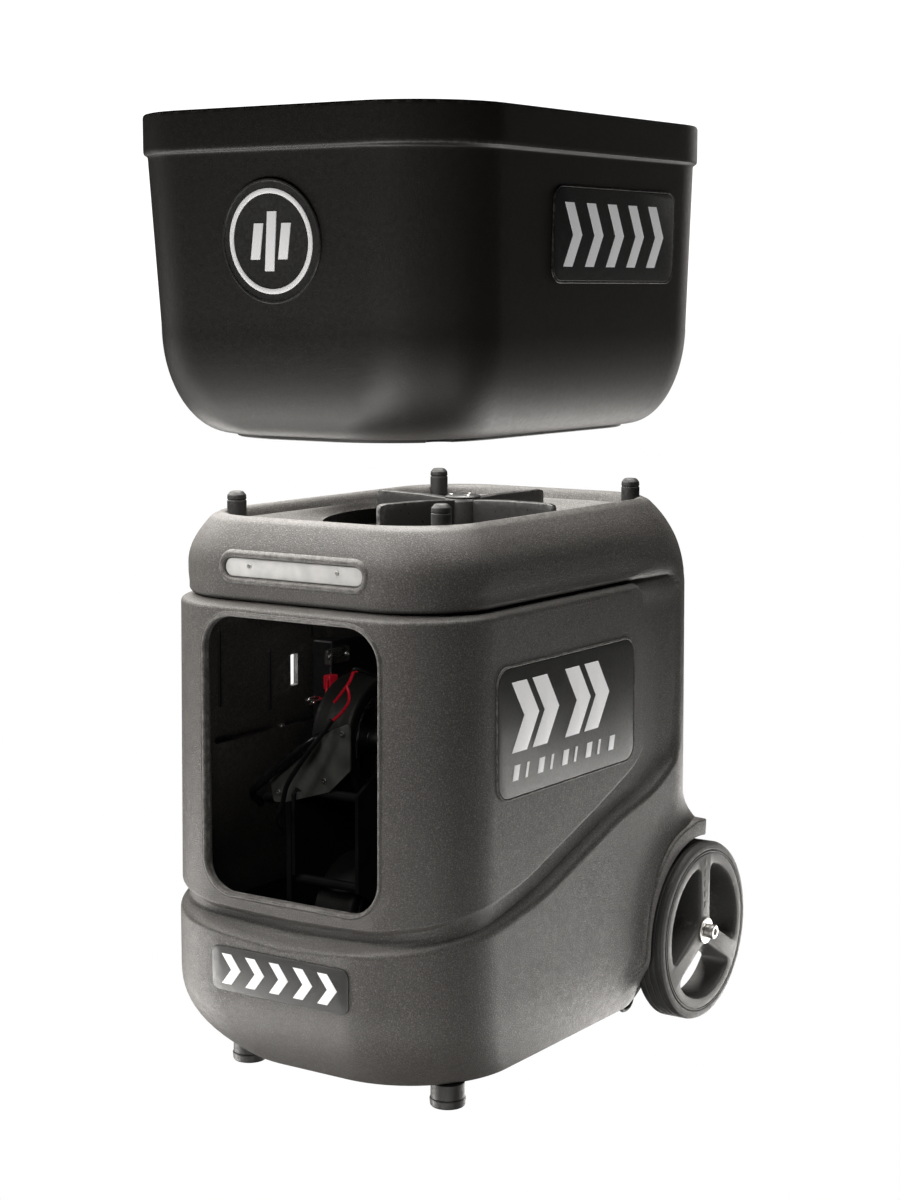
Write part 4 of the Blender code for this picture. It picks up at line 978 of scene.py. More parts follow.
# ==========================================================================
# hopper: a round-bottomed bowl under a nearly straight wall
# ==========================================================================
WALL_Z, BOWL_H, WALL_H = 775, 106, 155.0             # foot of the wall, bowl and wall height
FRONT_LEAN, SIDE_LEAN = 10.0, 4.5
HOPPER_WALL = 4
HOPPER_RIM = (206.0, -308.5, 237.0, 99.0)


def hopper_size(z):
    """Half width, front, rear and corner at a height."""
    if z >= WALL_Z:
        t = (z - WALL_Z) / WALL_H
        return 196 + SIDE_LEAN * t, -294.5 - FRONT_LEAN * t, 232 + 2 * t, 96 - 1 * t
    bulge = math.sqrt(max(0.0, 1 - ((WALL_Z - z) / BOWL_H) ** 2))
    return 143 + 53 * bulge, -254.5 - 40 * bulge, 206 + 26 * bulge, 102 - 6 * bulge


def shrink(size, by):
    half, front, rear, corner = size
    return half - by, front + by, rear - by, corner - by


def hopper_ring(size, z):
    half, front, rear, corner = size
    corners = []
    for cx, cy, start in ((half - corner, rear - corner, 0), (corner - half, rear - corner, 90),
                          (corner - half, front + corner, 180), (half - corner, front + corner, 270)):
        turns = [math.radians(start + 90.0 * k / 26) for k in range(27)]
        corners.append([(cx + corner * math.cos(t), cy + corner * math.sin(t)) for t in turns])
    out = []
    for i, bend in enumerate(corners):
        out += bend
        (x0, y0), (x1, y1) = bend[-1], corners[(i + 1) % 4][0]
        out += [(x0 + (x1 - x0) * k / 24, y0 + (y1 - y0) * k / 24) for k in range(1, 24)]
    return [(x, y, z) for x, y in out]


def bowl_drop(k):
    """Cosine of step k of 24 up the bowl."""
    return math.cos(pi / 2 * k / 24)


def bowl_z(k):
    return WALL_Z - BOWL_H * bowl_drop(k)


outside = [bowl_z(k) for k in range(25)] + list(np.linspace(790, 938, 9))
rings = [hopper_ring(hopper_size(z), z) for z in outside]
# step out from the wall to the rim: (share, height)
for share, z in ((0, 940.2), (0.08, 941.6), (0.3, 942.7), (0.62, 943.4), (0.85, 944.4),
                 (0.97, 946.2), (1.0, 949.0), (1.0, 978.5)):
    rings.append(hopper_ring([a + (b - a) * share for a, b in zip(hopper_size(941), HOPPER_RIM)], z))
# over the rim: (inset, height)
for inset, z in ((0.0, 979.5), (0.5, 981.6), (1.6, 982.7), (3.0, 983.0), (4.4, 982.7),
                 (5.4, 981.6), (5.8, 979.8), (5.9, 965.0), (6.0, 950.0)):
    rings.append(hopper_ring(shrink(HOPPER_RIM, inset), z))
# down the inside
for z in (943.0, 939.0, 900.0, 860.0, 820.0, 790.0, 775.0):
    rings.append(hopper_ring(shrink(hopper_size(min(z, 941)), HOPPER_WALL), z))
for k in range(22, 0, -2):
    z = bowl_z(k)
    rings.append(hopper_ring(shrink(hopper_size(z), HOPPER_WALL),
                             max(673.0, z + HOPPER_WALL * bowl_drop(k))))
rings.append(hopper_ring((139, -250.5, 202, 104), 673.0))
hopper = skin("hopper_moulding", rings, "hopper", body="ball_hopper", stands="hopper", smooth=30)

# a cup over each post, trimmed to the bowl
CUP = [(0, 671), (14.5, 671), (14.5, 687), (13.5, 689.2), (11.5, 690), (0, 690)]
cups = []
for post in POSTS:
    cup = lathe("tmp", CUP, "Z", post, seg=40)
    trim = []
    for k in range(16):
        size = hopper_size(bowl_z(k))
        trim.append(hopper_ring((*shrink(size, 0.4)[:3], size[3]), bowl_z(k)))
    cups.append(cut(cup, [skin("tmp", trim)], "INTERSECT"))
cut(hopper, cups, "UNION", smooth=30)


def hopper_holes(post_hole):
    return [rod_cutter("Z", post, 650, 687, post_hole, 40) for post in POSTS] + [
        rod_cutter("Z", WELL, 640, 700, 136, 128)]


cut(hopper, hopper_holes(11.5), smooth=30)
floor_plate = skin("hopper_floor_plate", [hopper_ring((139.0, -252.5, 201.0, 108.5), 665.6),
                                          hopper_ring((140.0, -253.5, 202.0, 109.5), 666.3),
                                          hopper_ring((140.5, -254.0, 202.5, 110), 668.7)],
                   "black", body="ball_hopper", stands="hopper_base_plate")
cut(floor_plate, hopper_holes(15.5))

# ==========================================================================
# badges: dark plates with plain slanted bars and chevrons
# ==========================================================================
MEDAL_Z, HOPPER_PLATE_Z, SIDE_PLATE_Z = 857, 865, 382.0
FRONT_SLOPE, SIDE_SLOPE = -FRONT_LEAN / WALL_H, SIDE_LEAN / WALL_H
MEDAL_Y = hopper_size(MEDAL_Z)[1]
HOPPER_PLATE_X = hopper_size(HOPPER_PLATE_Z)[0]
SIDE_PLATE_X = HALF_W + draft(SIDE_PLATE_Z)


def chevron(u, v, width, height, thick):
    """Chevron pointing to +u."""
    return [(u, v), (u + thick, v), (u + width, v + height / 2), (u + thick, v + height),
            (u, v + height), (u + (width - thick), v + height / 2)]


def bar(u, v, width, height, slant):
    return [(u, v), (u + width, v), (u + width + slant, v + height), (u + slant, v + height)]


def lean_front(x, y, z):
    return (x, y + FRONT_SLOPE * (z - MEDAL_Z), z)


def medallion_part(name, profile, finish, stands=None):
    """Turned part of (radius, height over the wall), leant with the wall."""
    obj = lathe(name, [(r, MEDAL_Y - height) for r, height in profile], "Y", (0, MEDAL_Z), finish,
                seg=128, body="ball_hopper", stands=stands)
    for vertex in obj.data.vertices:
        vertex.co.y += FRONT_SLOPE * (vertex.co.z - MEDAL_Z * MM)


medallion_part("medallion_disc", [(0, 0.4), (59, 0.4), (59.0, 1.6), (58.4, 2.3), (57.6, 2.5),
                                  (56.6, 2.3), (56.0, 1.6), (54, 1.4), (0, 1.4)],
               "badge", stands="hopper_medallion")
medallion_part("medallion_ring", [(44.8, 1.2), (49.6, 1.2), (49.6, 2.0), (49.3, 2.2),
                                  (45.1, 2.2), (44.8, 2.0)], "white")
for i, (u, height) in enumerate(((-22, 34), (-5.5, 56), (11, 34))):
    pillow("medallion_bar_%d" % (i + 1), bar(u - 3, MEDAL_Z - height / 2, 11, height, 6.0), "Y",
           MEDAL_Y - 1.2, MEDAL_Y - 2.2, 0.3, "white", body="ball_hopper", warp=lean_front)

# hopper sides; rim profiles are (inwards, height)
HOPPER_PLATE_RIM = [(-2.4, 0.2), (-2.2, 1.1), (-1.2, 1.5), (-0.3, 1.1), (-0.2, 0.2)]
for sign, side in SIDES:
    def lean_side(x, y, z):
        return (x + sign * SIDE_SLOPE * (z - HOPPER_PLATE_Z), y, z)
    outline = densify(rounded_rect(-114.5, 123.5, 820, 910, 14), 8)
    on_hopper = dict(warp=lean_side, body="ball_hopper")
    pillow("hopper_plate_" + side, outline, "X", sign * (HOPPER_PLATE_X + 0.25),
           sign * (HOPPER_PLATE_X + 1.5), 0.7, "badge", stands="hopper_badge_" + side, **on_hopper)
    ring_band("hopper_plate_rim_" + side, outline, "X", sign * HOPPER_PLATE_X,
              [(inset, sign * height) for inset, height in HOPPER_PLATE_RIM], "hopper",
              smooth=60, **on_hopper)
    for i in range(5):
        pts = chevron(-97.0 + i * 41.0, 834, 34, 62, 17)
        if sign < 0:
            pts = [(9 - u, v) for u, v in pts]
        pillow("hopper_chevron_%s_%d" % (side, i + 1), pts, "X", sign * (HOPPER_PLATE_X + 1.3),
               sign * (HOPPER_PLATE_X + 1.9), 0.25, "white", **on_hopper)

# lower front
lower_wrap = wrap_corners(110, 186)
pillow("front_plate", densify(rounded_rect(-85, 85, 114, 159, 8), 6), "Y", LOWER_FRONT_Y - 0.25,
       LOWER_FRONT_Y - 1.5, 0.6, "badge", warp=lower_wrap, stands="front_badge")
for i in range(5):
    pillow("front_chevron_%d" % (i + 1), chevron(-72 + i * 30.0, 121, 24, 31, 12), "Y",
           LOWER_FRONT_Y - 1.3, LOWER_FRONT_Y - 1.9, 0.2, "white", warp=lower_wrap)

# body sides, leaning with the panel
SIDE_PLATE_RIM = [(-3.0, -0.6), (-2.8, 0.7), (-1.9, 1.5), (-0.9, 1.2), (-0.5, 0.2), (-0.5, -0.8)]
for sign, side in SIDES:
    def lean_panel(x, y, z):
        return (x - sign * DRAFT / DRAFT_H * (z - SIDE_PLATE_Z), y, z)

    def mark(name, pts, height):
        if sign < 0:
            pts = [(-115 - u, v) for u, v in pts]
        pillow(name, pts, "X", sign * (SIDE_PLATE_X + 1.1), sign * (SIDE_PLATE_X + 1.3 + height),
               0.22, "white", warp=lean_panel)

    outline = densify(rounded_rect(-189.5, 74.5, 318, 446, 17), 8)
    side_plate = pillow("side_plate_" + side, outline, "X", sign * (SIDE_PLATE_X + 0.25),
                        sign * (SIDE_PLATE_X + 1.3), 0.5, "badge", warp=lean_panel,
                        stands="side_badge_" + side)
    ring_band("side_plate_rim_" + side, outline, "X", sign * SIDE_PLATE_X,
              [(inset, sign * height) for inset, height in SIDE_PLATE_RIM], "body",
              lean_panel, smooth=60)
    for k, u in enumerate((-166, -128, -66, -28) if sign > 0 else (-166, -132, -66, -32)):
        mark("side_arrow_%s_%d" % (side, k + 1), chevron(u, 362, 50, 70, 27), 0.6)
    for i in range(9):
        mark("side_dash_%s_%d" % (side, i + 1),
             bar(-165 + i * 23.2, 334, 4.0 if i % 2 else 10, 15, 4), 0.5)
    if sign < 0:
        cut(side_plate, [slab_cutter("X", WALL_SLOT, -200, -165)], solver="EXACT", smooth=50)

# ==========================================================================
# posts and feet
# ==========================================================================
POST_CAP = fillet([(0, 576.8), (10, 576.8), (10, 597.2), (9.3, 597.7), (9.3, 598.6), (9.9, 599.1),
                   (9.6, 603.2), (6.5, 606.9), (0, 607.5)],
                  [0, 0.6, 0.4, 0.4, 0.4, 0.4, 2.4, 3.6, 0], 5, closed=False)
FOOT = fillet([(0, 0), (14.0, 0), (14.0, 0.8), (16.4, 0.8), (17.8, 2.4), (18.4, 8.5), (18.1, 9.6),
               (17.4, 10.2), (17.3, 25.7), (0, 25.7)],
              [0, 0.3, 0.3, 1.4, 1.4, 0.7, 0.5, 0.6, 0.8, 0], closed=False)
for x, y in POSTS:
    corner = "%s_%s" % ("front" if y < 0 else "rear", "left" if x < 0 else "right")
    lathe("post_cap_" + corner, POST_CAP, "Z", (x, y), "rubber", seg=56, slot="post_rubber",
          stands="post_" + corner, smooth=45)
for sign, side in SIDES:
    lathe("foot_pad_" + side, FOOT, "Z", (sign * 127.0, -190.5), "rubber", seg=64,
          stands="foot_" + side, smooth=45)

# ==========================================================================
# wheels
# ==========================================================================
SPOKE_HALF, OPENING_R = 11.5, 76.0
RIM_PROFILE = fillet(
    [(6.4, 170.0), (21.0, 170.0), (23.0, 172.5), (72.0, 172.5), (76.0, 170.0), (90.3, 170.0),
     (90.3, 204.0), (89.4, 205.0), (88.6, 205.0), (88.2, 204.1), (87.4, 204.1), (87.0, 205.0),
     (6.4, 205.0)], [0.5, 1, 1, 3, 3, 1, 0.5, 0.3, 0.2, 0.1, 0.1, 0.3, 0.5], 2)
TREAD_PROFILE = fillet(
    [(90.8, 171.0), (94.0, 169.6), (97.5, 169.9), (100.0, 173.0), (100.0, 179.0), (98.9, 179.4),
     (98.9, 181.2), (100.0, 181.6), (100.0, 186.6), (98.9, 187.0), (98.9, 188.8), (100.0, 189.2),
     (100.0, 194.4), (98.9, 194.8), (98.9, 196.6), (100.0, 197.0), (100.0, 200.0), (98.4, 202.9),
     (95.5, 204.2), (92.5, 204.6), (90.8, 204.2)], 0.5, 2)
WASHER = fillet([(3.4, 205.1), (14.5, 205.1), (14.5, 207.1), (3.4, 207.1)], 0.35, 2)
AXLE_SCREW = fillet([(0, 192), (3.0, 192), (3.0, 207.4), (8.0, 207.4), (8.0, 216.9), (6.9, 218.0),
                     (0, 218)], [0, 0, 0, 0.4, 0.4, 0.4, 0], 2, closed=False)


def spoke_opening(angle):
    """Opening between two spokes: a V with a round apex and outer edge."""
    half = math.radians(60)
    edge = math.asin(SPOKE_HALF / OPENING_R)
    polar = [(SPOKE_HALF / math.sin(half), 0.0)]
    polar += [(OPENING_R, -half + edge + (2 * half - 2 * edge) * k / 40)
              for k in (0, *range(6, 35), 40)]
    pts = [(AXLE_Y + r * math.cos(angle + t), AXLE_Z + r * math.sin(angle + t)) for r, t in polar]
    return fillet(pts, [20.0, 12.0] + [0.0] * 29 + [12.0], 10)


def lead_in(opening, sign):
    """Flared cutter that rounds the outer edge of an opening."""
    opening = counter_clockwise(opening)
    levels = [(0.0, 198.0)]                          # (inwards, distance from the centre)
    for k in range(6, -1, -1):
        turn = pi / 2 * k / 6
        levels.append((-2.8 * (1 - math.sin(turn)) - 0.05, 205.3 - 4.4 * (1 - math.cos(turn))))
    levels.append((-3.0, 208.0))
    return skin("tmp", [[place("X", u, v, sign * x) for u, v in offset_poly(opening, inset)]
                        for inset, x in levels])


def on_axle(name, profile, sign, finish, **more):
    return lathe(name, [(r, sign * x) for r, x in profile], "X", AXLE, finish, **more)


openings = [spoke_opening(math.radians(30 + 120 * k)) for k in range(3)]
hexagon = [(AXLE_Y + 4.6 * math.cos(math.radians(60 * k + 12)),
            AXLE_Z + 4.6 * math.sin(math.radians(60 * k + 12))) for k in range(6)]
for sign, side in SIDES:
    body = side + "_wheel"
    rim = on_axle("wheel_rim_" + side, RIM_PROFILE, sign, "wheel", body=body, seg=144,
                  stands="wheel_" + side)
    cut(rim, [slab_cutter("X", opening, sign * 160, sign * 215) for opening in openings])
    for opening in openings:
        cut(rim, [lead_in(opening, sign)])
    on_axle("wheel_tread_" + side, TREAD_PROFILE, sign, "tread", body=body, seg=160,
            stands="tyre_" + side)
    for k in range(5):                               # small raised pads up the middle
        z = 178.0 - 12.0 * k
        pad = [(AXLE_Y - 2.6, z - 3.6), (AXLE_Y + 2.6, z - 3.6), (AXLE_Y + 2.6, z + 3.6),
               (AXLE_Y - 2.6, z + 3.6)]
        pillow("wheel_mark_%s_%d" % (side, k + 1), fillet(pad, 1.0, 3), "X", sign * 204.6,
               sign * 205.35, 0.2, "wheel", body=body)
    on_axle("washer_" + side, WASHER, sign, "steel", seg=72, stands="axle_washer_" + side)
    screw = on_axle("wheel_screw_" + side, AXLE_SCREW, sign, "steel", seg=60,
                    stands="axle_screw_" + side)
    cut(screw, [slab_cutter("X", hexagon, sign * 212, sign * 222)], smooth=30)

# ==========================================================================
# feed wheel: a hub with four blades
# ==========================================================================
feed_wheel = lathe(
    "feed_wheel_moulding",
    fillet([(0, 500), (5, 500), (5, 522), (16, 522), (21, 530), (21, 586.5), (18.8, 589.6),
            (0, 589.6)], [0, 0.5, 1, 2, 3, 2.4, 1.0, 0], closed=False),
    "Z", WELL, "feed", body="feed_wheel", stands="impeller")
# blade stations: distance out, half thickness, bottom, top
BLADE = ((14, 6.2, 524, 588.2), (30, 5.8, 524, 589.2), (60, 5.2, 524, 590.6),
         (100, 4.6, 524, 591.0), (122, 4.0, 524, 591.0), (128.2, 3.4, 527, 589.6),
         (130, 2.4, 531, 587.0))
blades = []
for k in range(4):
    turn = math.radians(-9 + 90 * k)
    cos, sin = math.cos(turn), math.sin(turn)
    rings = []
    for out, half, bottom, top in BLADE:
        profile = fillet([(-half * 0.62, bottom), (half * 0.62, bottom), (half, top - 8),
                          (half, top), (-half, top), (-half, top - 8)], [1, 1, 3, 1.3, 1.3, 3], 3)
        rings.append([(out * cos - u * sin, WELL_Y + out * sin + u * cos, z) for u, z in profile])
    blades.append(skin("tmp", rings))
cut(feed_wheel, blades, "UNION", solver="EXACT", smooth=38)
lathe("feed_wheel_cap",
      fillet([(0, 589.9), (18.6, 589.9), (19.5, 591.0), (17.6, 592.6), (9, 593.8), (0, 594.2)],
             [0, 0.4, 0.6, 2, 4, 0], closed=False),
      "Z", WELL, "feed", seg=72, body="feed_wheel", stands="impeller_cap")
for k in range(3):
    turn = math.radians(90 + 120 * k)
    screw_head("feed_cap_screw_%d" % (k + 1), "Z",
               (12.5 * math.cos(turn), WELL_Y + 12.5 * math.sin(turn)),
               (2.2, 1.7, 0.8, 0.8), (592.2, 593.4, 593.9, 593.3), seg=20, body="feed_wheel")

# ==========================================================================
# CAD nodes that keep their shape and only take a finish
# ==========================================================================
KEPT = {
    "steel": ("axle",),
    "black": ("feed_tray", "ball_chute", "controller_box", "charge_socket", "handle_mount",
              "ball_guide"),
    "motor": ("feed_motor", "swing_motor", "tilt_motor"),
    "coat": ("turntable_base", "yoke", "head_frame"),
    "gear": ("swing_gear", "swing_pinion", "tilt_gear", "tilt_pinion"),
    "battery": ("battery",), "panel": ("rear_panel",), "alu": ("handle_frame",),
    "switch": ("power_switch",), "button": ("start_button",), "greybtn": ("handle_button",),
    "rubber": ("handle_grip",),
}
for finish, names in KEPT.items():
    for name in names:
        materials = frame["nodes"][name].data.materials
        materials.clear()
        materials.append(MAT[finish])

# ==========================================================================
# launch wheels and motors, around an axis along x
# ==========================================================================
LAUNCH_TREAD = fillet([(52.4, -23.5), (63.0, -24), (65.0, -22.5), (65.0, -19), (62.6, -9),
                       (61.8, 0), (62.6, 9), (65.0, 19), (65.0, 22.5), (63.0, 24), (52.4, 23.5)],
                      0.8, 3)
LAUNCH_HUB = fillet([(0, -27), (11, -27), (13, -25), (13, -9), (44, -5), (47, -22), (51.5, -23.5),
                     (51.5, 23.5), (47, 22), (44, 5), (13, 9), (13, 25), (4.0, 26), (4.0, 50),
                     (0, 50)], 0.8, 3, closed=False)
LAUNCH_MOTOR = [(0, 54), (4.6, 54)] + fillet(
    [(4.6, 42.3), (26, 42.3), (28, 44), (28, 50), (27.2, 50.8), (27.2, 77), (28, 78), (28, 84),
     (26, 86), (10, 86), (10, 91.5), (0, 91.5)], 0.6, 2, closed=False)
for level, z in (("upper", 355.5), ("lower", 168.5)):
    centre = (-150, z)
    body = level + "_launch_wheel"
    # the launch tyres take the near-black finish that paints the shade inside the body
    lathe(level + "_wheel_tread", LAUNCH_TREAD, "X", centre, "tyre_launch", seg=120, body=body,
          stands=level + "_launch_tyre")
    lathe(level + "_wheel_hub", LAUNCH_HUB, "X", centre, "hub", body=body,
          stands=level + "_launch_hub")
    lathe(level + "_motor_can", LAUNCH_MOTOR, "X", centre, "motor", seg=80, body="launch_head",
          stands=level + "_motor")

# cord loop under the rear right of the body
LOOP_X = 138.0
loop = [(LOOP_X, 148 - 14 * math.cos(t), 22.5 - 10.5 * math.sin(t)) for t in np.linspace(0, pi, 22)]
loop = [(LOOP_X, 134.0, 26.4), (LOOP_X, 134.0, 24.2), *loop,
        (LOOP_X, 162.0, 24.2), (LOOP_X, 162.0, 26.4)]
tube("tie_loop_cord", loop, 2.3, "rubber", stands="tie_loop")

# ==========================================================================
# small parts inside the left wall
# ==========================================================================
pillow("relay_bar", rounded_rect(-25, 17, 400, 417, 2.0, 4), "X", -149.6, -145.8, 0.9, "steel")
for i, y in enumerate((-20.0, 12.0)):
    screw_head("relay_bar_screw_%d" % (i + 1), "X", (y, 408.5), (3.0, 2.3, 1.1, 1.0),
               (-146.0, -144.9, -144.2, -144.9), seg=20)
pillow("relay_tab", rounded_rect(-20.5, -15.0, 388, 412, 1.2, 3), "X", -145.8, -143.6, 0.6, "clip")
pillow("lead_plug", rounded_rect(-27, -11, 373, 389, 2.0, 4), "X", -149.6, -141.0, 1.4, "red")
LEAD_JOINT = fillet([(0, -60), (1.6, -60), (1.6, -56), (2.8, -55.4), (2.8, -42), (1.6, -41.4),
                     (1.6, -37), (0, -37)], 0.3, 2, closed=False)
for i in range(2):
    lathe("lead_joint_%d" % (i + 1), LEAD_JOINT, "Y", (-150.0 + 6.4 * i, 365.5 - 3.0 * i), "clip",
          seg=24)
bent_tube("wire_red_branch_1", 1.5, "red", 12,
          [(-148, 34, 388), (-146, 26, 377), (-146, 17, 363), (-148, 2, 359), (-149, -13, 357),
           (-150, -36, 365)])
bent_tube("wire_red_branch_2", 1.4, "red", 12,
          [(-146, 17, 363), (-145, 18, 352), (-147, 16, 341), (-149.5, 18, 330)])
for i, (y, bottom, top) in enumerate(((-86.5, 356, 422), (-171, 372, 455), (-12.0, 428, 452))):
    pillow("inner_rib_%d" % (i + 1), rounded_rect(y - 1.4, y + 1.4, bottom, top, 1.2, 4), "X",
           -180.2, -176.4, 0.7, "black", slot="body_plastic")
screw_head("inner_stud", "X", (-65, 334), (4.0, 3.2, 1.2, 1.0), (-180.5, -177.4, -176.6, -177.4),
           seg=28)

# ==========================================================================
# bars, leads and a bent cover carried on the launching head
# ==========================================================================
ON_HEAD = dict(body="launch_head")
bent_tube("head_guard_bar", 5.2, "coat", 18,
          [(-103, -178, 284), (-101, -188, 287), (-84, -191, 292), (-56, -191, 299),
           (-34, -190, 306), (-31, -180, 309)], **ON_HEAD)
bent_tube("head_cross_bar", 4.6, "cable", 18,
          [(-104, -150, 279), (-86, -151, 285), (-68, -151, 291), (-56, -149, 295),
           (-50, -140, 296)], slot="frame_metal", **ON_HEAD)
bent_tube("head_lead_run", 3.2, "cable", 16,
          [(-103, -176, 305), (-92, -188, 315), (-72, -192, 330), (-54, -190, 344),
           (-42, -176, 356), (-38, -160, 362)], **ON_HEAD)
bent_tube("head_lead_run_3", 1.9, "cable", 12,
          [(62, -150, 386), (56, -186, 420), (46, -214, 436), (38.5, -222, 440),
           (36, -223, 437)], **ON_HEAD)
bent_tube("lead_red_head_1", 1.7, "red", 12,
          [(37, -223, 438), (33, -224, 428), (27, -224, 420), (19, -223, 411),
           (12, -222, 404)], **ON_HEAD)

# grey cover in front of the upper launch wheel, bent along x
COVER = fillet([(-74.0, 313.0), (-38.0, 345.0), (8.0, 375.0), (27.0, 383.0), (29.0, 377.0),
                (29.0, 335.0), (4.0, 311.0), (-51.0, 294.0), (-69.0, 291.5)],
               [3, 0, 4, 4, 4, 5, 5, 4, 4], 3)
COVER_Y = -219.0


def cover_bend(x, y, z):
    return (x, y - 3.0 * math.sin((x + 70.0) / 34.0), z)


pillow("head_cover_plate", densify(COVER, 6), "Y", -216.6, COVER_Y, 0.6, "cover",
       warp=cover_bend, smooth=50, **ON_HEAD)
for i, (x, z) in enumerate(((-62.0, 303.0), (20.0, 372.0), (-2.0, 322.0))):
    face = cover_bend(x, COVER_Y, z)[1]
    screw_head("head_cover_screw_%d" % (i + 1), "Y", (x, z), (3.0, 2.3, 1.1, 1.0),
               (face + 0.5, face - 0.6, face - 1.3, face - 0.6), seg=20, **ON_HEAD)
bent_tube("head_stay_bar", 4.2, "stay", 18,
          [(-104, -196, 282), (-98, -216, 296), (-86, -225, 307), (-56, -226, 330),
           (-25, -226, 354), (-12, -222, 364), (-4, -212, 370)], **ON_HEAD)
bent_tube("lead_red_head_2", 1.6, "red", 12,
          [(30, -226, 423), (33, -226, 414), (31, -225, 405), (20, -223, 393),
           (10, -222, 385)], **ON_HEAD)
bent_tube("head_lead_run_2", 2.6, "cable", 14,
          [(11, -225, 386), (2, -229, 372), (-15, -234, 349), (-37, -236, 318),
           (-46, -234, 295), (-60, -226, 275), (-66, -208, 258)], **ON_HEAD)

# ribbed plate closing the bottom: half width, front, rear, corner, height
BASE_PLATE = ((150.8, -239.3, 188.0, 84.0, 26.3), (151.6, -241.0, 188.8, 84.5, 28.0),
              (152.2, -243.0, 189.4, 85.0, 31.0))
skin("base_plate_moulding", [plain_ring(*row, front_corner=109.5) for row in BASE_PLATE], "black",
     stands="base_plate", smooth=30)
for i in range(5):
    y = -120.0 + 60.0 * i
    pillow("base_rib_%d" % (i + 1), rounded_rect(-96, 96, y - 3, y + 3, 2.6, 5), "Z", 26.5, 24.9,
           0.7, "black")

# wiring inside the body
bent_tube("wire_red_run", 1.6, "red", 14,
          [(-152, -14, 372), (-147, -22, 381), (-141, -32, 385), (-135, -41, 380),
           (-131, -47, 366), (-131, -51, 348), (-133, -54, 328)], per=10, stands="wire_red")
bent_tube("wire_black_run", 2.4, "cable", 14,
          [(-146.9, 14, 352), (-137, -6, 342), (-126, -30, 318), (-120, -56, 280),
           (-128, -70, 230), (-134, -74, 160), (-120, -40, 90), (-96, -10, 60), (-88, 20, 50)],
          per=10, stands="wire_black")


# ==========================================================================
# floor and world, in metres from here on
# ==========================================================================
def camera_only(tree, seen, cast):
    """Shader that shows one surface to the camera and another to the rest."""
    path = tree.nodes.new("ShaderNodeLightPath")
    mix = tree.nodes.new("ShaderNodeMixShader")
    tree.links.new(path.outputs["Is Camera Ray"], mix.inputs[0])
    tree.links.new(cast, mix.inputs[1])
    tree.links.new(seen, mix.inputs[2])
    return mix.outputs[0]


paint, tree, shader = new_material("floor_paint")
shader.inputs["Roughness"].default_value = 0.9
shader.inputs["Base Color"].default_value = (0.80, 0.80, 0.80, 1)
tint = noise(tree, object_coord(tree), scale=3.0)
tree.links.new(mix_rgb(tree, tint, (0.79, 0.79, 0.79), (0.82, 0.82, 0.82)),
               shader.inputs["Base Color"])
seen = node(tree, "ShaderNodeEmission", Color=(1, 1, 1, 1), Strength=1.0)
tree.links.new(camera_only(tree, seen.outputs[0], shader.outputs[0]),
               tree.nodes["Material Output"].inputs[0])
FLOOR_HALF = 40.0
mesh = bpy.data.meshes.new("floor")
mesh.from_pydata([(sx * FLOOR_HALF, sy * FLOOR_HALF, 0)
                  for sx, sy in ((-1, -1), (1, -1), (1, 1), (-1, 1))], [], [(0, 1, 2, 3)])
floor = bpy.data.objects.new("floor", mesh)
mesh.materials.append(paint)
bpy.context.scene.collection.objects.link(floor)
floor.visible_diffuse = floor.visible_glossy = False
floor.visible_transmission = floor.visible_shadow = False

# white sweep for the camera, dark studio for everything else
world = bpy.data.worlds.new("studio")
bpy.context.scene.world = world
world.use_nodes = True
tree = world.node_tree
dark = tree.nodes["Background"]
dark.inputs["Color"].default_value = (1.0, 0.985, 0.965, 1)
dark.inputs["Strength"].default_value = 0.004
white = node(tree, "ShaderNodeBackground", Color=(1, 1, 1, 1), Strength=1.2)
tree.links.new(camera_only(tree, white.outputs[0], dark.outputs[0]),
               tree.nodes["World Output"].inputs[0])

# ==========================================================================
# lights: each group of pieces has its own set
# ==========================================================================
HOPPER_NAMES = ("hopper", "medallion")
SMALL_NAMES = ("relay_", "lead_", "wire_red_", "inner_stud")
INSIDE_NAMES = ("head_", "yoke", "swing_", "tilt_", "upper_", "lower_", "ball_guide",
                "ball_chute", "turntable", "battery", "controller", "wire_black", "inner_rib",
                "feed_motor")
lit_hopper, lit_rest, lit_small, lit_inside = [
    bpy.data.collections.new("light_" + key) for key in ("hopper", "rest", "small", "inside")]
for obj in bpy.context.scene.objects:
    if obj.type != "MESH" or obj.name == "floor":
        continue
    if obj.name.startswith(HOPPER_NAMES):
        group = lit_hopper
    elif obj.name.startswith(SMALL_NAMES):
        group = lit_small
    elif obj.name.startswith(INSIDE_NAMES):
        group = lit_inside
    else:
        group = lit_rest
    group.objects.link(obj)


def soft_box(name, receivers, location, target, size, power):
    light = bpy.data.lights.new(name, "AREA")
    light.energy = power
    light.shape = "DISK"
    light.size = size
    light.color = (1.0, 0.976, 0.940)
    obj = bpy.data.objects.new(name, light)
    obj.location = location
    aim = Vector(target) - Vector(location)
    obj.rotation_euler = aim.to_track_quat("-Z", "Y").to_euler()
    bpy.context.scene.collection.objects.link(obj)
    obj.light_linking.receiver_collection = receivers
    obj.light_linking.blocker_collection = receivers
    obj.visible_camera = False


def far_boxes(prefix, receivers, boxes):
    """Boxes on a sphere, from (azimuth, elevation, watts)."""
    radius, middle = 2.6, 0.48
    for i, (azimuth, elevation, power) in enumerate(boxes):
        a, e = math.radians(azimuth), math.radians(elevation)
        location = (radius * math.cos(e) * math.cos(a), radius * math.cos(e) * math.sin(a),
                    middle + radius * math.sin(e))
        soft_box(prefix + str(i), receivers, location, (0, 0, middle), size=1.3, power=power)


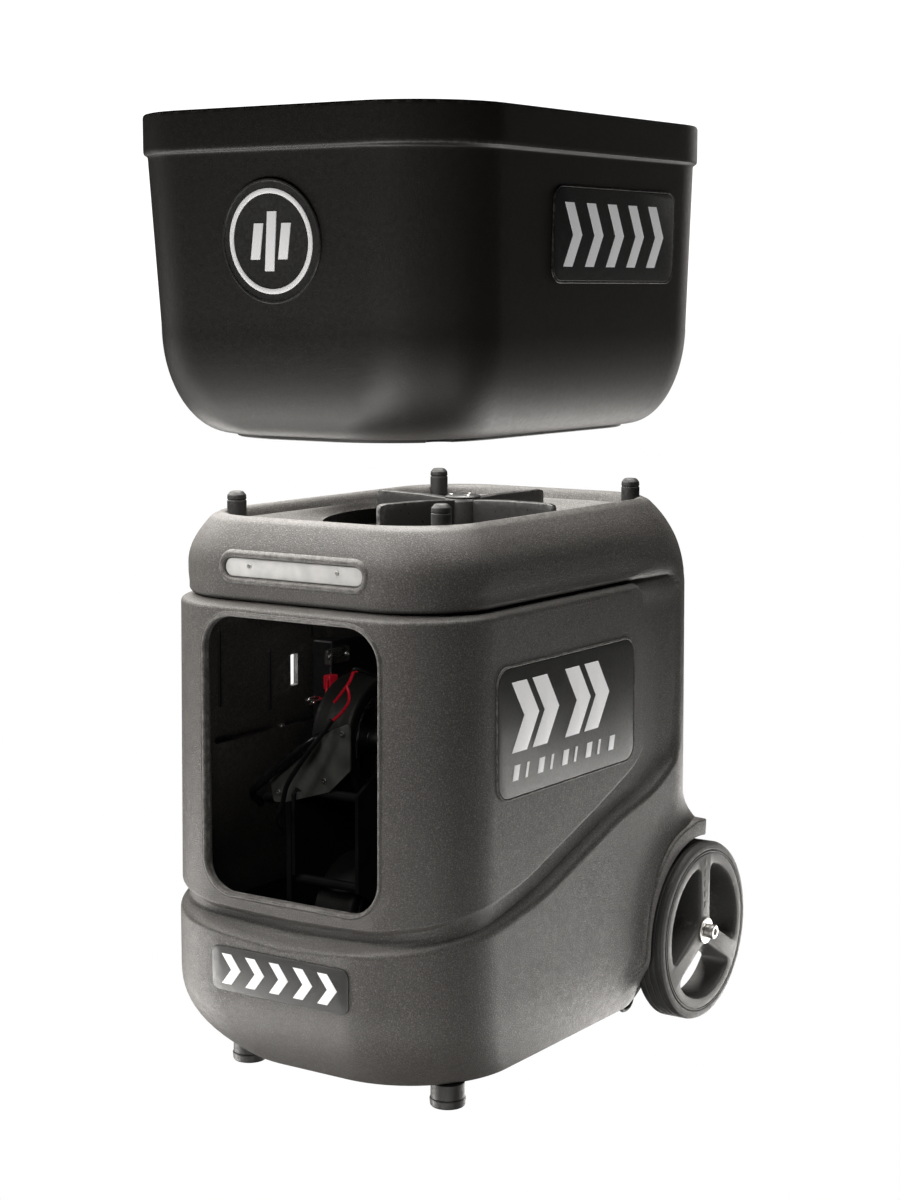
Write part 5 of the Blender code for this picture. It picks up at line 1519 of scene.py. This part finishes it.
def near_boxes(prefix, receivers, boxes, radius, height, aim):
    """Close boxes at one height, from (azimuth, watts), aimed at a height."""
    for i, (azimuth, power) in enumerate(boxes):
        a = math.radians(azimuth)
        soft_box(prefix + str(i), receivers, (radius * math.cos(a), radius * math.sin(a), height),
                 (0, 0, aim), size=0.7, power=power)


far_boxes("hopper_far_", lit_hopper, [
    (-90, -35, 27.3), (160, -35, 25.2), (-146, -35, 20.6), (-115, -35, 15.9), (60, -35, 14.9),
    (90, -35, 13.2), (-20, -35, 9.6), (-56, -35, 7.7), (90, 15, 6.1), (-170, -8, 5.4),
    (-170, -35, 4.3)])
near_boxes("hopper_low_", lit_hopper, [(79, 1.14)], radius=0.75, height=0.42, aim=0.85)
far_boxes("body_far_", lit_rest, [
    (124, 68, 112.8), (34, 68, 39.0), (0, 90, 29.3), (-146, -35, 19.7), (-90, -35, 12.6),
    (160, 15, 1.8), (160, 42, 1.7)])
near_boxes("body_low_", lit_rest, [(79, 8.51), (-146, 7.15), (34, 2.53), (-56, 2.32)],
           radius=0.75, height=-0.12, aim=0.35)
near_boxes("body_high_", lit_rest, [(-146, 8.40), (-101, 7.55), (169, 3.86)],
           radius=0.62, height=1.05, aim=0.50)
soft_box("inside_light", lit_inside, (0.7, -2.2, 1.6), (0, -0.1, 0.35), size=1.0, power=6.0)
soft_box("inside_edge_light", lit_inside, (-1.4, -1.6, 1.9), (0, -0.1, 0.35), size=0.6, power=8.0)
soft_box("small_parts_light", lit_small, (0.9, -1.7, 1.5), (-0.14, 0, 0.38), size=0.5, power=15.0)
bpy.context.scene.view_settings.view_transform = "Standard"

# ==========================================================================
# camera
# ==========================================================================
lens = bpy.data.cameras.new("camera")
camera = bpy.data.objects.new("camera", lens)
bpy.context.scene.collection.objects.link(camera)
lens.sensor_width = 36.0
lens.sensor_fit = "AUTO"
lens.lens = 69.5436
lens.shift_y = -0.00091667
lens.clip_start, lens.clip_end = 0.05, 200.0
camera.location = (1.38281, -2.04413, 0.8121)
camera.rotation_euler = (math.radians(90 - 7.61), 0.0, math.radians(34.06))
bpy.context.scene.camera = camera
